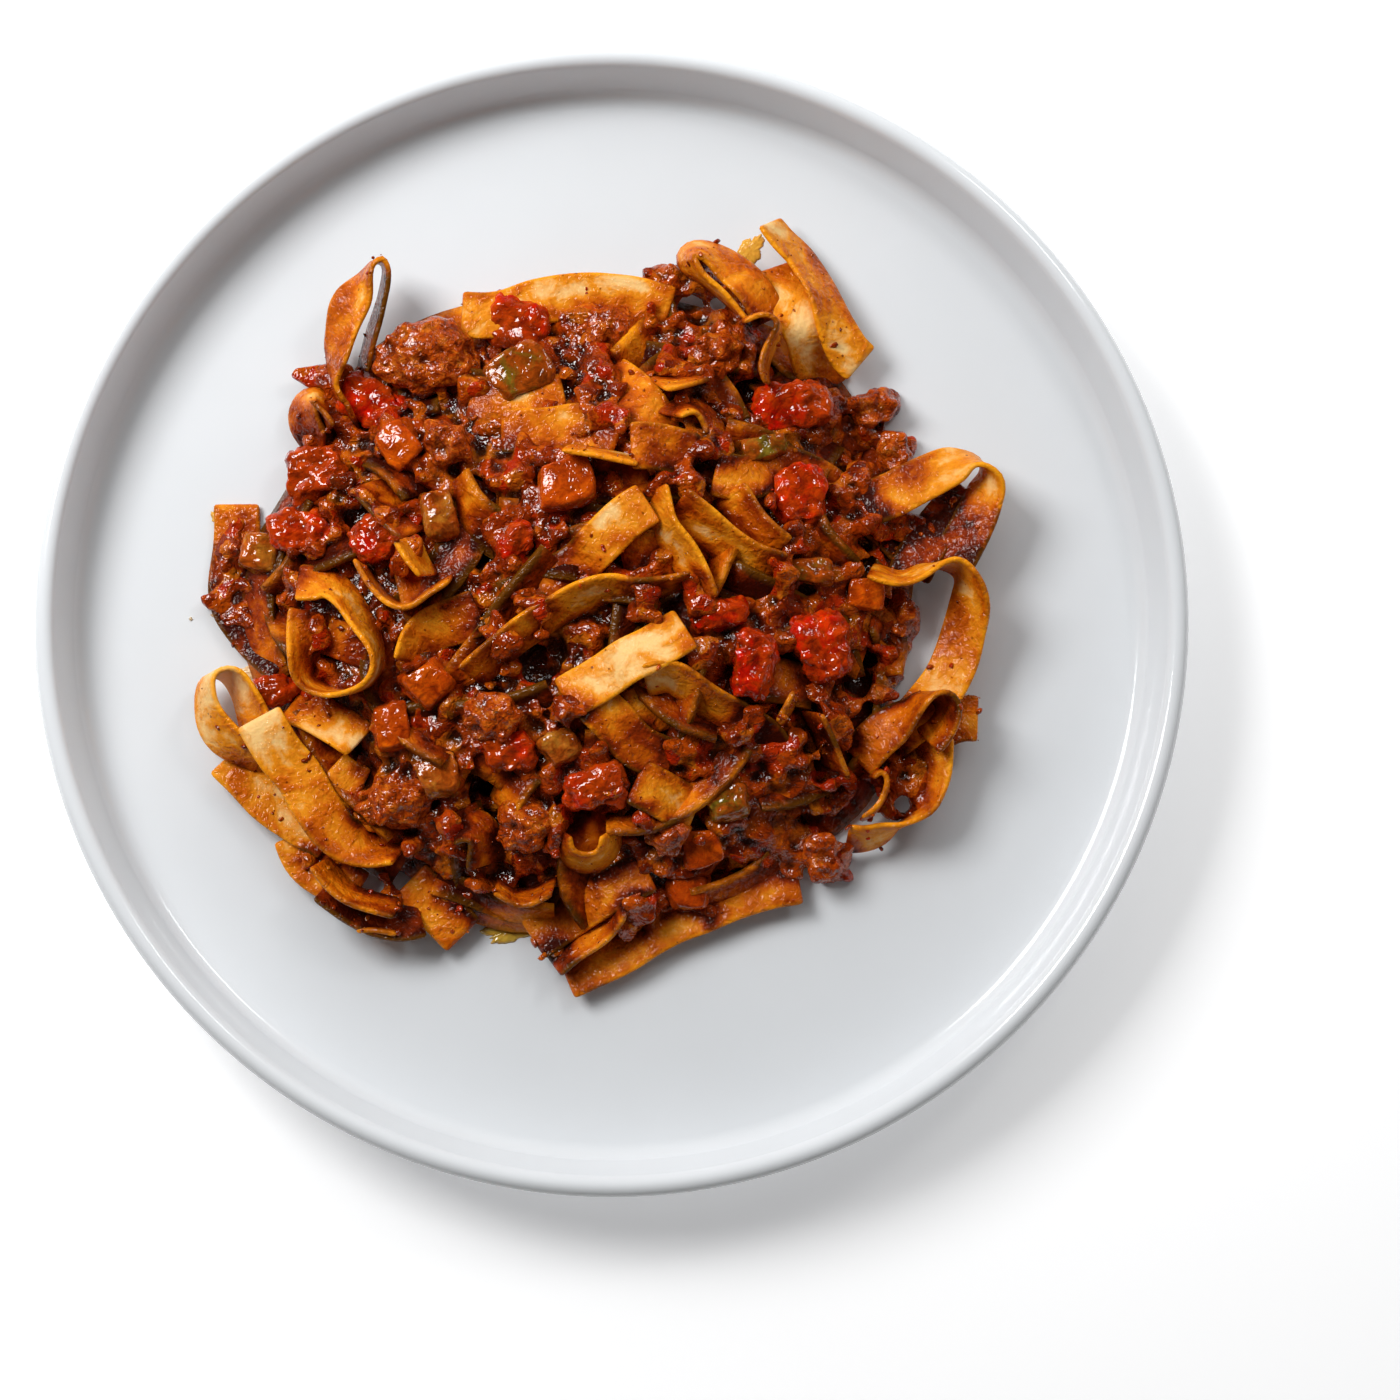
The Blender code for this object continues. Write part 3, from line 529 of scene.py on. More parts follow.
# Tagliatelle: each one is (layer from below, how saucy from 0 clean to 1, heights over the plate's
# floor, rolls in degrees, route in millimetres). Height 0 lies on the heap, roll 0 lies flat, a
# positive roll lifts the edge on the right of the way the route runs, values spread evenly along.
noodle = {
    "width": 10.2, "thickness": 1.25, "bite": 0.9, "step": 2.3, "gap": 0.3,
    "curl": 0.30, "ripple": 0.35, "widthSpread": 0.05,
    "rimSauceAndShade": 0.24, "middleClean": 0.08, "streak": 0.26,   # cleaner in the middle than at the edges: sauce pooled along the edges, with painted shade there too
    "liftMost": 3.2, "topMost": 30.4, "sunk": 2.6, "underCount": 44, "underSeed": 5, "footCount": 9, "footSeed": 11,
    "shapeSeed": 21,
}
noodleTable = {
    "tallLoop": (3, (0.7, 0.5, 0.35, 0.4, 0.8, 0.8), (4, 8, 12, 14, 14, 12, 9, 6),
        (80, 80, 45, 20, 76, 105, 112, 110),
        [(-56, 42), (-61, 50), (-60, 58), (-58, 65), (-55, 71), (-52.5, 76), (-50.5, 77.5), (-49.2, 75.5),
        (-50.3, 69), (-53, 61), (-55, 54)]),
    "smallLoop": (2, (0.5, 0.3, 0.5), (5, 8, 8), (60, 45, 60, 110),
        [(-63, 36), (-67, 41), (-67.5, 46), (-65.5, 49), (-63.5, 47), (-62, 40)]),
    "leftStrap": (1, (0.3, 0.7, 0.8), (0, 0), (0, 8),
        [(-83, 25), (-83, 15), (-84, 6), (-82, 0), (-77, -6), (-71, -11)]),
    "backStrap": (1, (0.3, 0.15, 0.3), (9, 9), (0, -12),
        [(-33, 66), (-25, 66), (-15, 69), (-6, 70), (6, 69), (13, 67)]),
    "crestLoop": (3, (0.7, 0.4, 0.3, 0.4), (9, 12, 13, 12, 10), (-30, -30, -55, -90, -95),
        [(35, 64), (31, 71), (27, 75), (22, 79), (18, 80), (16, 78), (18, 75), (24, 70), (30, 64)]),
    "blade": (3, (0.2, 0.4, 0.25), (8, 7, 6), (50, 45, 10),
        [(35, 87), (38, 83), (42, 79), (46, 72), (49, 64), (52, 58), (55, 55)]),
    "broadBack": (2, (0.45, 0.2, 0.05, 0.3), (8, 12, 0), (10, 10),
        [(36, 77), (38, 72), (40, 67), (43, 61), (45, 55), (49, 50)]),
    "backCurl": (3, (0.6, 0.5), (16, 16), (80, 80),
        [(28, 62), (32, 64), (36, 63), (36, 60), (34, 56), (33, 52), (34, 49)]),
    "sideStrap": (1, (0.6, 0.4), (0, 0), (-10, 0),
        [(53, 47), (55, 40), (57, 34), (60, 28), (64, 25)]),
    "rightUpperLoop": (3, (0.6, 0.45, 0.15, 0.2, 0.75, 0.85), (12, 12, 11, 8, 6),
        (10, 10, 15, 25, 70, 135, 150, 155, 160),
        [(55, 23), (62, 26), (69, 29.5), (76, 33), (80.5, 33), (82.5, 29), (80, 22), (76.5, 15), (73, 9)]),
    "rightLowerLoop": (3, (0.2, 0.3, 0.35, 0.4), (12, 11, 10, 9, 8, 6, 5), (65, 70, 105, 145, 160, 165, 165),
        [(56, 9), (63, 7), (70, 10), (75, 10), (78, 5), (77, -3), (75, -10), (72, -16), (67, -22), (61, -27)]),
    "frontRightLoop": (3, (0.5, 0.6, 0.7), (8, 11, 11, 9, 8), (20, 25, 70, 120, 140),
        [(53, -32), (59, -26), (64, -22), (68, -18), (71, -18), (73, -21), (71, -25), (68, -28)]),
    "rightStub": (2, (0.6, 0.6), (7, 7), (10, 10),
        [(70, -25), (76, -23), (80, -23)]),
    "cornerLoop": (2, (0.35, 0.3, 0.35), (7, 7), (145, 135, 120, 95, 60, 55),
        [(70, -27), (70, -35), (68, -42), (63, -46), (56, -49), (51, -49)]),
    "innerHook": (2, (0.6, 0.6), (9, 9), (85, 85),
        [(56, -36), (58, -34), (60, -36), (59, -40), (57, -43), (54, -45)]),
    "bigLoop": (4, (0.3, 0.25, 0.3, 0.35, 0.5), (15, 15, 13, 12, 10), (35, 60, 88, 110, 155),
        [(-68, 6), (-60, 5), (-54, -2), (-50, -10), (-52, -16), (-59, -18), (-66, -15), (-66, -8), (-65, 0)]),
    "cupStrand": (3, (0.5, 0.4, 0.5), (0, 0), (80, 80),
        [(-54, 10), (-51, 5), (-47, 1), (-43, 0), (-39, 3), (-34, 6)]),
    "leftFace": (2, (0.6, 0.45), (0, 0), (35, 45),
        [(-53, 28), (-49, 23), (-45, 19), (-42, 16)]),
    "middleArch": (4, (0.65, 0.35, 0.15), (22, 20, 14), (0, 20, 50),
        [(-28, -1), (-33, -3), (-37, -4), (-41, -7), (-43, -12)]),
    "longEdge": (5, (0.5, 0.2, 0.3, 0.5), (0, 0), (-50, -50, -50, -60, -80),
        [(-30, -15), (-23, -9), (-15, -3), (-6, 2), (0, 4), (5, 3), (11, 4), (17, 6)]),
    "brightEnd": (4, (0.5, 0.3, 0.25), (0, 24.5, 25.5), (0, 0),
        [(-16, 5), (-9, 8), (-3, 13), (2, 18), (8, 22)]),
    "narrowMiddle": (3, (0.35, 0.25, 0.4), (0, 0), (-55, -55),
        [(9, 25), (11, 17), (15, 12), (18, 6), (20, 1)]),
    "curvedMiddle": (3, (0.4, 0.3, 0.4), (0, 0), (-45, -45),
        [(14, 22), (19, 18), (25, 13), (30, 10), (36, 8)]),
    "shadedMiddle": (2, (0.5, 0.4), (0, 0), (-35, -40),
        [(25, 25), (28, 20), (32, 15), (36, 12)]),
    "oliveStrap": (2, (0.5, 0.5, 0.6), (0, 0), (0, 0),
        [(22, 29), (29, 28), (37, 31), (44, 29), (49, 26)]),
    "paleBack": (1, (0.3, 0.1, 0.3), (0, 0), (0, 5),
        [(-31, 47), (-21, 45), (-10, 47)]),
    "paleFront": (2, (0.3, 0.15, 0.3), (0, 0), (0, 0),
        [(-24, 39), (-14, 39), (-6, 40), (2, 37)]),
    "backDiagonal": (2, (0.2, 0.3, 0.6), (0, 0), (10, 10),
        [(-1, 52), (5, 47), (9, 41), (11, 35), (13, 30)]),
    "thinEdge": (4, (0.4, 0.3), (0, 0), (75, 75),
        [(-10, 34), (-3, 33), (6, 31)]),
    "squareEnd": (4, (0.5, 0.5), (24.5, 24), (0, 0),
        [(4, 34), (10, 34), (18, 32)]),
    "shadedStrap": (1, (0.5, 0.5), (0, 0), (0, 0),
        [(-4, 28), (2, 27), (8, 26)]),
    "shortEdge": (2, (0.3, 0.5), (0, 0), (60, 60),
        [(10, 48), (14, 49), (19, 51)]),
    "creamStrap": (6, (0.15, 0, 0.1), (0, 24.5, 25), (15, 15),
        [(-10, -20), (-3, -16), (3, -12), (9, -9), (16, -5)]),
    "turningStrap": (4, (0.3, 0.45, 0.7), (0, 0), (-50, -50, -20, -10),
        [(7, -16), (13, -15), (19, -19), (26, -24), (33, -28), (35, -33)]),
    "flatFront": (3, (0.35, 0.5), (0, 0), (10, 0),
        [(-4, -20), (1, -25), (6, -30), (13, -33)]),
    "frontEnd": (3, (0.5, 0.4), (0, 0), (10, 15),
        [(5, -37), (11, -40), (18, -44)]),
    "rightEdge": (3, (0.6, 0.6), (0, 0), (-70, -70),
        [(43, -22), (46, -28), (49, -35)]),
    "lowerBack": (3, (0.5, 0.4, 0.5), (6, 0), (10, 10),
        [(-17, -71), (-8, -65), (0, -60), (8, -56)]),
    "lowerFold": (2, (0.6, 0.4), (5.5, 7), (45, 50),
        [(-13, -76), (-8, -72), (-2, -68), (2, -62)]),
    "frontStrap": (1, (0.6, 0.4, 0.5), (3, 4), (18, 10),
        [(-10, -79), (1, -74), (11, -68), (21, -64), (31, -60), (41, -58)]),
    "frontFlap": (3, (0.15, 0.4, 0.6), (0, 2), (0, 0),
        [(-44, -58), (-40, -62), (-36, -66), (-32, -70)]),
    "frontBow": (3, (0.6, 0.7), (0, 0), (70, 70),
        [(-25, -59), (-19, -62), (-12, -59)]),
    "frontArch": (3, (0.6, 0.5), (0, 0), (45, 40),
        [(-34, -47), (-30, -46), (-27, -49), (-27, -55)]),
    "broadLeft": (5, (0.05, 0.3, 0.55, 0.4), (12, 11, 10, 9), (0, 5, 15, 60),
        [(-76, -23), (-72, -30), (-67, -36), (-63, -43), (-59, -48), (-53, -51), (-45, -52)]),
    "underLeft": (2, (0.3, 0.25, 0.4), (4, 5), (10, 10),
        [(-84, -31), (-79, -36), (-74, -41), (-68, -45), (-61, -49)]),
    "leftLoop": (4, (0.5, 0.1, 0.05, 0.3), (8, 10, 10, 9, 8), (55, 40, 60, 125, 140),
        [(-76, -32), (-82, -29), (-86, -25), (-88, -20), (-88, -15), (-86, -13), (-82, -14), (-79, -19), (-77, -25)]),
    "lowerLeft": (1, (0.4, 0.6), (4, 5), (5, 5),
        [(-69, -48), (-66, -54), (-60, -58), (-55, -61)]),
    "lowerLeftEdge": (2, (0.6, 0.6), (8, 8), (65, 65),
        [(-63, -54), (-59, -59), (-54, -62), (-46, -64)]),
    "footEdge": (1, (0.5, 0.3), (5.6, 5.6), (80, 80),
        [(-55, -68), (-51, -68), (-46, -69)]),
    "shortEnd": (6, (0.15, 0.2), (0, 0), (60, 70),
        [(-43.9, 14.6), (-41.6, 10.4), (-39, 6.6)]),
    "smallArch": (3, (0.5, 0.4), (0, 0), (60, 60),
        [(12.4, 41), (15.7, 43.4), (19.3, 42.7), (22.1, 39.6), (22.8, 36.5)]),
    "foldedPiece": (2, (0.3, 0.4), (0, 0), (10, 10),
        [(6.4, -16.2), (8.6, -21), (10.4, -26.6)]),
    "loopFloor": (2, (0.3, 0.2), (0, 0), (25, 25),
        [(-70, -19.7), (-64.5, -21.7), (-58.9, -25), (-54, -28.4)]),
    "dullEnd": (4, (0.3, 0.4), (0, 0), (5, 5),
        [(-61, -34), (-58, -36.5), (-54, -38.5)]),
    "innerRibbon": (1, (0.4, 0.5), (0, 0), (0, 0),
        [(-55.6, -2.9), (-57, -7), (-58.5, -10.9)]),
    # dark-toned noodles inside the right upper loop: sauce-soaked, their dark tone also partly painted shade
    "loopShade": (2, (0.9, 0.95), (5, 4), (25, 25),
        [(57, 22), (63, 17), (69, 11)]),
    "loopBackShade": (2, (0.7, 0.9), (6, 5), (160, 160),
        [(79, 27), (73, 21), (68, 14), (65, 8)]),
    "footShade": (1, (0.9, 0.8), (4, 3), (40, 30),
        [(-62, -59), (-55, -64), (-47, -67), (-41, -66)]),
    "hiddenEdge": (2, (0.5, 0.5), (0, 0), (80, 80),
        [(39.2, -18.4), (37.5, -22), (35.9, -25)]),
}
ringCentre, ringRadius, ringFrom, ringTo, ringRoll = (-5.3, -49.0), 5.4, 160.0, 380.0, -65.0


def spread(values, share):
    place = min(max(share, 0.0), 1.0) * (len(values) - 1)
    index = min(int(place), len(values) - 2)
    ease = 0.5 - 0.5 * math.cos(math.pi * (place - index))
    return values[index] + (values[index + 1] - values[index]) * ease


def smoothRoute(points, count):
    ends = [points[0] * 2 - points[1]] + points + [points[-1] * 2 - points[-2]]
    fine = []
    for i in range(1, len(ends) - 2):
        before, here, there, after = ends[i - 1:i + 3]
        for step in range(12):
            t = step / 12
            fine.append(0.5 * (here * 2 + (there - before) * t
                               + (before * 2 - here * 5 + there * 4 - after) * t ** 2
                               + (here * 3 - before - there * 3 + after) * t ** 3))
    fine.append(points[-1])
    lengths = [0.0]
    for first, second in zip(fine, fine[1:]):
        lengths.append(lengths[-1] + (second - first).length)
    even = []
    index = 0
    for step in range(count):
        goal = lengths[-1] * step / (count - 1)
        while index < len(fine) - 2 and lengths[index + 1] < goal:
            index += 1
        share = (goal - lengths[index]) / max(lengths[index + 1] - lengths[index], 1e-9)
        even.append(fine[index].lerp(fine[index + 1], min(share, 1.0)))
    return even, lengths[-1]


def noodleStations(route, heights, rolls, step, drop=0.0):
    points = [Vector((x, y)) * mm for x, y in route]
    length = smoothRoute(points, 3)[1]
    count = max(6, round(length / (step * mm)) + 1)
    centres, turns = [], []
    for i, spot in enumerate(smoothRoute(points, count)[0]):
        roll = math.radians(spread(rolls, i / (count - 1)))
        half = (noodle["width"] * abs(math.sin(roll)) + noodle["thickness"] * abs(math.cos(roll))) / 2 * mm
        rest = heapHeight(spot.x, spot.y) + half - noodle["bite"] * mm - drop
        height = max(spread(heights, i / (count - 1)) * mm, rest, half + 2 * noodle["gap"] * mm)
        centres.append(Vector((spot.x, spot.y, plateFloor + height)))
        turns.append(roll)
    return centres, turns


def noodleFrames(centres, turns):
    frames = []
    last = len(centres) - 1
    for i, centre in enumerate(centres):
        along = (centres[min(i + 1, last)] - centres[max(i - 1, 0)]).normalized()
        left = Vector((0, 0, 1)).cross(along).normalized()
        up = along.cross(left)
        side = left * math.cos(turns[i]) - up * math.sin(turns[i])
        face = up * math.cos(turns[i]) + left * math.sin(turns[i])
        frames.append((centre, side, face))
    return frames


class HeightMap:                               # tops of what lies on the heap, on a millimetre grid
    def __init__(self, reach=0.1):
        self.reach = reach
        self.size = int(2 * reach / mm)
        self.top = numpy.full((self.size, self.size), -1.0)

    def cell(self, x, y):
        return (min(max(int((x + self.reach) / mm), 0), self.size - 1),
                min(max(int((y + self.reach) / mm), 0), self.size - 1))

    def at(self, x, y):
        return self.top[self.cell(x, y)]

    def raiseTo(self, x, y, height):
        cell = self.cell(x, y)
        self.top[cell] = max(self.top[cell], height)


def layNoodle(centres, turns, tops):
    # lifts a noodle over what already lies under it, evened out along its length
    frames = noodleFrames(centres, turns)
    half = noodle["width"] / 2 * mm
    lifts = []
    for centre, side, face in frames:
        lift = 0.0
        for share in (-0.9, -0.45, 0.0, 0.45, 0.9):
            point = centre + side * half * share
            under = point.z - noodle["thickness"] / 2 * mm * abs(face.z)
            lift = max(lift, tops.at(point.x, point.y) + 0.1 * mm - under)
        lifts.append(min(lift, noodle["liftMost"] * mm))
    wide = [max(lifts[max(i - 2, 0):i + 3]) for i in range(len(lifts))]
    for _ in range(3):
        wide = [sum(wide[max(i - 1, 0):i + 2]) / len(wide[max(i - 1, 0):i + 2]) for i in range(len(wide))]
    raised = []
    for centre, lift, turn in zip(centres, wide, turns):
        tall = half * abs(math.sin(turn)) + noodle["thickness"] / 2 * mm
        height = min(centre.z + lift, plateFloor + noodle["topMost"] * mm - tall)
        raised.append(Vector((centre.x, centre.y, height)))
    frames = noodleFrames(raised, turns)
    for (centre, side, face), (ahead, _, _) in zip(frames, frames[1:] + frames[-1:]):
        for between in (0.0, 0.5):
            middle = centre.lerp(ahead, between)
            for step in range(-8, 9):
                point = middle + side * half * step / 8
                tops.raiseTo(point.x, point.y, point.z + noodle["thickness"] / 2 * mm)
    return frames


def shapeRibbon(name, frames, tones, draw, columns=7):
    deselectAll()
    bpy.ops.mesh.primitive_grid_add(x_subdivisions=len(frames) - 1, y_subdivisions=columns, size=1.0)
    item = bpy.context.object
    item.name = name
    mesh = item.data
    points = meshPoints(mesh)
    width = noodle["width"] * mm * draw.uniform(1 - noodle["widthSpread"], 1 + noodle["widthSpread"])
    curl = draw.uniform(-1.0, 1.0) * noodle["curl"] * mm
    shift = Vector([draw.uniform(0, 90) for _ in range(3)])
    stains, edges = [], []
    last = len(frames) - 1
    for index, (x, y, _) in enumerate(points.tolist()):
        station = min(max(round((x + 0.5) * last), 0), last)
        centre, side, face = frames[station]
        across = math.copysign(min(abs(y) * 2, 1.0) ** 0.72, y) / 2   # columns gather towards the edges
        place = centre + side * across * width
        bow = curl * (4 * across * across - 0.33)
        wobble = noise.noise(centre * 110 + shift + Vector((0, 0, across * 1.6))) * noodle["ripple"] * mm
        place += face * (bow + wobble * (0.35 + 2.2 * across * across))
        place += side * noise.noise(centre * 160 + shift) * 0.25 * mm
        points[index] = place
        share = station / last
        streak = noise.noise(Vector((share * last * 0.28, across * 2.6, shift.x)))
        # darker towards both edges: sauce pooled there, and painted shade
        edgeSauceAndShade = noodle["rimSauceAndShade"] * (across * 2) ** 2 - noodle["middleClean"]
        stains.append(spread(tones, share) + edgeSauceAndShade + noodle["streak"] * streak
                      + 0.08 * noise.noise(place * 90 + shift))
        # how near each point lies to the noodle's edge, for the painted edge highlight
        edges.append(smoothStep(0.80, 1.0, abs(across) * 2))
    setMeshPoints(mesh, points)
    setAttribute(mesh, "stain", stains)
    setAttribute(mesh, "edge", edges)
    return item


def ringRoute():
    turns = [math.radians(ringFrom + (ringTo - ringFrom) * i / 6) for i in range(7)]
    return [(ringCentre[0] + ringRadius * math.cos(t), ringCentre[1] + ringRadius * math.sin(t)) for t in turns]


def footNoodles():                             # along the heap's outline, where it meets the plate
    draw = random.Random(noodle["footSeed"])
    laid = []
    for i in range(noodle["footCount"]):
        start = 360.0 * (i + draw.uniform(-0.2, 0.2)) / noodle["footCount"]
        arc = draw.uniform(22.0, 34.0)
        inset = draw.uniform(0.0, 3.0)
        route = []
        for step in range(4):
            angle = math.radians(start + arc * step / 3)
            reach = heapReach(angle) / mm - inset + (1.5 if step in (1, 2) else 0.0)
            route.append((reach * math.cos(angle), reach * math.sin(angle)))
        heights = (draw.uniform(2.0, 6.0), draw.uniform(2.0, 6.0))
        rolls = (-draw.uniform(15.0, 60.0), -draw.uniform(15.0, 60.0))
        laid.append((0, (0.6, 0.5), heights, rolls, route))
    return laid


def underNoodles():                            # the tangle below the ones that lie in sight
    draw = random.Random(noodle["underSeed"])
    laid = []
    for i in range(noodle["underCount"]):
        angle = i * goldenTurn + draw.uniform(-0.3, 0.3)
        share = math.sqrt((i + 0.5) / noodle["underCount"]) * 0.90
        reach = heapReach(angle) / mm * share
        x, y = reach * math.cos(angle), reach * math.sin(angle)
        heading = draw.uniform(0, math.tau)
        bend = draw.uniform(-0.5, 0.5)
        route = [(x, y)]
        for _ in range(4):
            x, y = x + 8.5 * math.cos(heading), y + 8.5 * math.sin(heading)
            heading += bend + draw.uniform(-0.15, 0.15)
            limit = heapReach(math.atan2(y, x)) / mm * 0.94
            if math.hypot(x, y) > limit:
                x, y = x * limit / math.hypot(x, y), y * limit / math.hypot(x, y)
            if math.hypot(x - route[-1][0], y - route[-1][1]) > 3:
                route.append((x, y))
        rolls = (draw.uniform(-60, 60), draw.uniform(-60, 60))
        laid.append((0, (draw.uniform(0.4, 0.8), draw.uniform(0.4, 0.8)), (0, 0), rolls, route))
    return [kind for kind in laid if len(kind[4]) > 2]


def joinPieces(items, name):
    deselectAll()
    for item in items:
        item.select_set(True)
    bpy.context.view_layer.objects.active = items[0]
    bpy.ops.object.join()
    joined = bpy.context.object
    joined.name = name
    joined.data.name = name
    placeInMesh(joined)
    return joined


def finishRibbons(item, smooth):
    wall = item.modifiers.new("thickness", "SOLIDIFY")
    wall.thickness = noodle["thickness"] * mm
    wall.offset = 0.0
    wall.use_even_offset = True
    if smooth:
        soft = item.modifiers.new("soft edges", "SUBSURF")
        soft.levels = soft.render_levels = 1
    applyModifiers(item)
    bpy.ops.object.shade_smooth()


def makeNoodles(tops):
    draw = random.Random(noodle["shapeSeed"])
    under, shown = [], []
    places = []                                # where sauce bits may cling later
    for number, (_, tones, heights, rolls, route) in enumerate(underNoodles() + footNoodles()):
        centres, turns = noodleStations(route, heights, rolls, 3.0, noodle["sunk"] * mm)
        frames = noodleFrames(centres, turns)
        under.append(shapeRibbon(f"under_{number}", frames, tones, draw, 4))
    kinds = list(noodleTable.items())
    kinds.append(("frontRing", (3, (0.45, 0.3), (0, 0), (ringRoll, ringRoll), ringRoute())))
    for name, (_, tones, heights, rolls, route) in sorted(kinds, key=lambda kind: kind[1][0]):
        centres, turns = noodleStations(route, heights, rolls, noodle["step"])
        frames = layNoodle(centres, turns, tops)
        shown.append(shapeRibbon(name, frames, tones, draw))
        places.append((tones, frames))
    lower = joinPieces(under, "tagliatelle_below")
    upper = joinPieces(shown, "tagliatelle_on_top")
    finishRibbons(lower, False)
    finishRibbons(upper, True)
    return lower, upper, places


# Sauce and mince: crumbs of meat in sauce pile up between the noodles, and in named places (x, y,
# radius, rise) over them.
sauce = {
    "crumbs": 900, "smallest": 1.4, "largest": 3.8, "voxel": 0.60, "seed": 8, "roughness": 0.42,
    "waves": ((260, 1.0), (480, 0.8), (900, 0.4)), "closing": 0.6, "triangles": 190000,
    "perArea": 0.36, "heaped": (1.9, 3.7),
    "heaps": [(-62, 40, 4.9, 0.8), (-64, 44, 3.6, 0.6), (-57, 24, 5.8, 0.8), (-71, 22, 4.9, 0.6),
              (-82, 15, 5.4, 0.8), (-73, 13, 4.9, 0.8), (-80, 2, 6.7, 0.8), (-71, 6, 3.6, 0.6),
              (-37, 35, 5.8, 0.8), (-39, 24, 5.8, 0.6), (-30, 18, 4.9, 0.4), (-26, 28, 4.9, 0.6),
              (-25, 18, 4.5, 0.6), (-48, 18, 4.5, 0.6), (-44, 11, 3.6, 0.3), (-17, 33, 4, 0.6),
              (-13, 19, 5.4, 0.3), (-59, 53, 3.1, 0.6), (-30, 51, 3.6, 0.6), (-16, 56, 4.5, 0.8),
              (-4, 64, 8, 1.2), (-4, 51, 7.2, 0.9), (-1, 40, 4.9, 0.6), (10, 66, 5.8, 0.9), (19, 64, 5.8, 1),
              (25, 56, 7.2, 0.9), (17, 55, 4, 0.3), (17, 42, 3.6, 0.3), (19, 35, 5.4, 0.6), (17, 28, 4.9, 0.6),
              (9, 28, 3.1, 0.3), (28, 42, 4.5, 0.6), (37, 42, 5.4, 0.8), (48, 44, 6.7, 0.9),
              (55, 42, 5.8, 0.8), (59, 48, 4.5, 0.6), (62, 37, 4.5, 0.6), (40, 24, 5.8, 0.8), (41, 15, 4, 0.6),
              (52, 27, 6.3, 0.9), (55, 19, 6.3, 0.6), (48, 15, 4.5, 0.3), (48, 6, 6.3, 0.8), (37, 6, 4.9, 0.6),
              (57, 2, 5.8, 0.8), (65, -1, 3.6, 0.6), (23, -3, 6.7, 0.8), (32, -5, 5.8, 0.8),
              (19, -10, 5.4, 0.3), (8, 2, 5.8, 0.3), (17, 2, 4, 0.3), (48, -7, 6.7, 0.8), (57, -10, 4.9, 0.4),
              (-17, 2, 4, 0.3), (-21, -7, 6.7, 0.3), (-42, -16, 5.4, 0.6), (-48, -23, 4.5, 0.8),
              (-35, -25, 5.8, 0.6), (-24, -23, 7.6, 1), (-17, -30, 5.4, 0.6), (-33, -34, 4.9, 0.3),
              (-10, -21, 3.6, 0.3), (-10, -30, 4.5, 0.6), (-4, -36, 6.7, 0.8), (-17, -39, 5.4, 0.3),
              (-48, -41, 6.7, 1), (-39, -36, 5.8, 0.8), (-35, -45, 5.4, 0.6), (-42, -50, 4, 0.3),
              (-35, -54, 4.5, 0.3), (-17, -50, 6.3, 0.6), (-13, -43, 4.9, 0.6), (5, -48, 4, 0.6),
              (11, -52, 5.4, 0.8), (21, -54, 5.4, 0.6), (17, -30, 5.8, 0.6), (28, -27, 5.4, 0.3),
              (28, -43, 5.8, 0.6), (41, -36, 6.7, 0.6), (48, -39, 4.9, 0.6), (41, -50, 6.3, 0.8),
              (48, -54, 4.5, 0.8), (32, -52, 4.5, 0.6), (19, -61, 4.5, 0.6), (5, -65, 4.9, 0.3),
              (-13, -74, 3.1, 0.2), (63, -30, 3.6, 0.6), (63, -40, 4.5, 0.6), (57, -36, 3.1, 0.3),
              (39, -30, 4.5, 0.2), (48, -25, 4.5, 0.2), (-62, 45, 3.1, 0.5), (-66, 52, 2.2, 0.3),
              (60, -16, 3.6, 0.3), (63, 19, 4.5, 0.2),
              (-62, 53, 3.1, 0.3), (-61, 59, 2.5, 0.3), (19, 76, 3.6, 0.3), (14, 73, 3.1, 0.3),
              (24, 72, 2.7, 0.3), (6, 70, 3.6, 0.4), (10, 74, 2.2, 0.3), (-55, -64, 3.1, 0.2),
              (-49, -62, 3.1, 0.2), (67, -39, 3.1, 0.4), (65, -42, 3.1, 0.3), (69, -34, 2.2, 0.2),
              (72, -24, 2.2, 0.2), (-64, -6, 3.6, 0.4), (-86, 8, 3.1, 0.3), (-87, 3, 2.7, 0.3),
              (-84, 19, 2.7, 0.3), (-66, -54, 2.2, 0.2), (-33, -60, 3.6, 0.2), (-29, -62, 2.7, 0.2),
              (13, 56, 5, 1.6), (22, 62, 5, 1.6), (16, 66, 4, 1.4), (28, 60, 4, 1.4), (14, 73, 4, 3), (20, 75, 3, 2),
              (26, 71, 3.2, 1.5), (29, 67, 3.4, 1.2), (76, 24, 3, 0.2), (70, 17, 4, 0.3), (65, -32, 3.6, 0.6),
              (67, -36, 3, 0.5)],
}


def crumbShape(name, radius=0.5, detail=2, roughness=0.2, seed=1):
    deselectAll()
    bpy.ops.mesh.primitive_ico_sphere_add(subdivisions=detail, radius=radius)
    item = bpy.context.object
    item.name = name
    shift = Vector((seed * 7.3, seed * 3.1, seed * 5.7))
    draw = random.Random(seed)
    cuts = [(Vector([draw.gauss(0, 1) for _ in range(3)]).normalized(), draw.uniform(0.5, 0.8) * radius)
            for _ in range(6)]
    points = meshPoints(item.data)
    for index, point in enumerate(points):
        way = Vector(point)
        swell = 1 + roughness * 2 * noise.noise(way * 1.9 / radius / 2 + shift)
        swell += roughness * noise.noise(way * 4.3 / radius / 2 + shift)
        way *= swell
        for side, reach in cuts:               # chopped flat here and there
            over = way.dot(side) - reach
            if over > 0:
                way -= side * over * 0.85
        points[index] = way
    setMeshPoints(item.data, points)
    return item


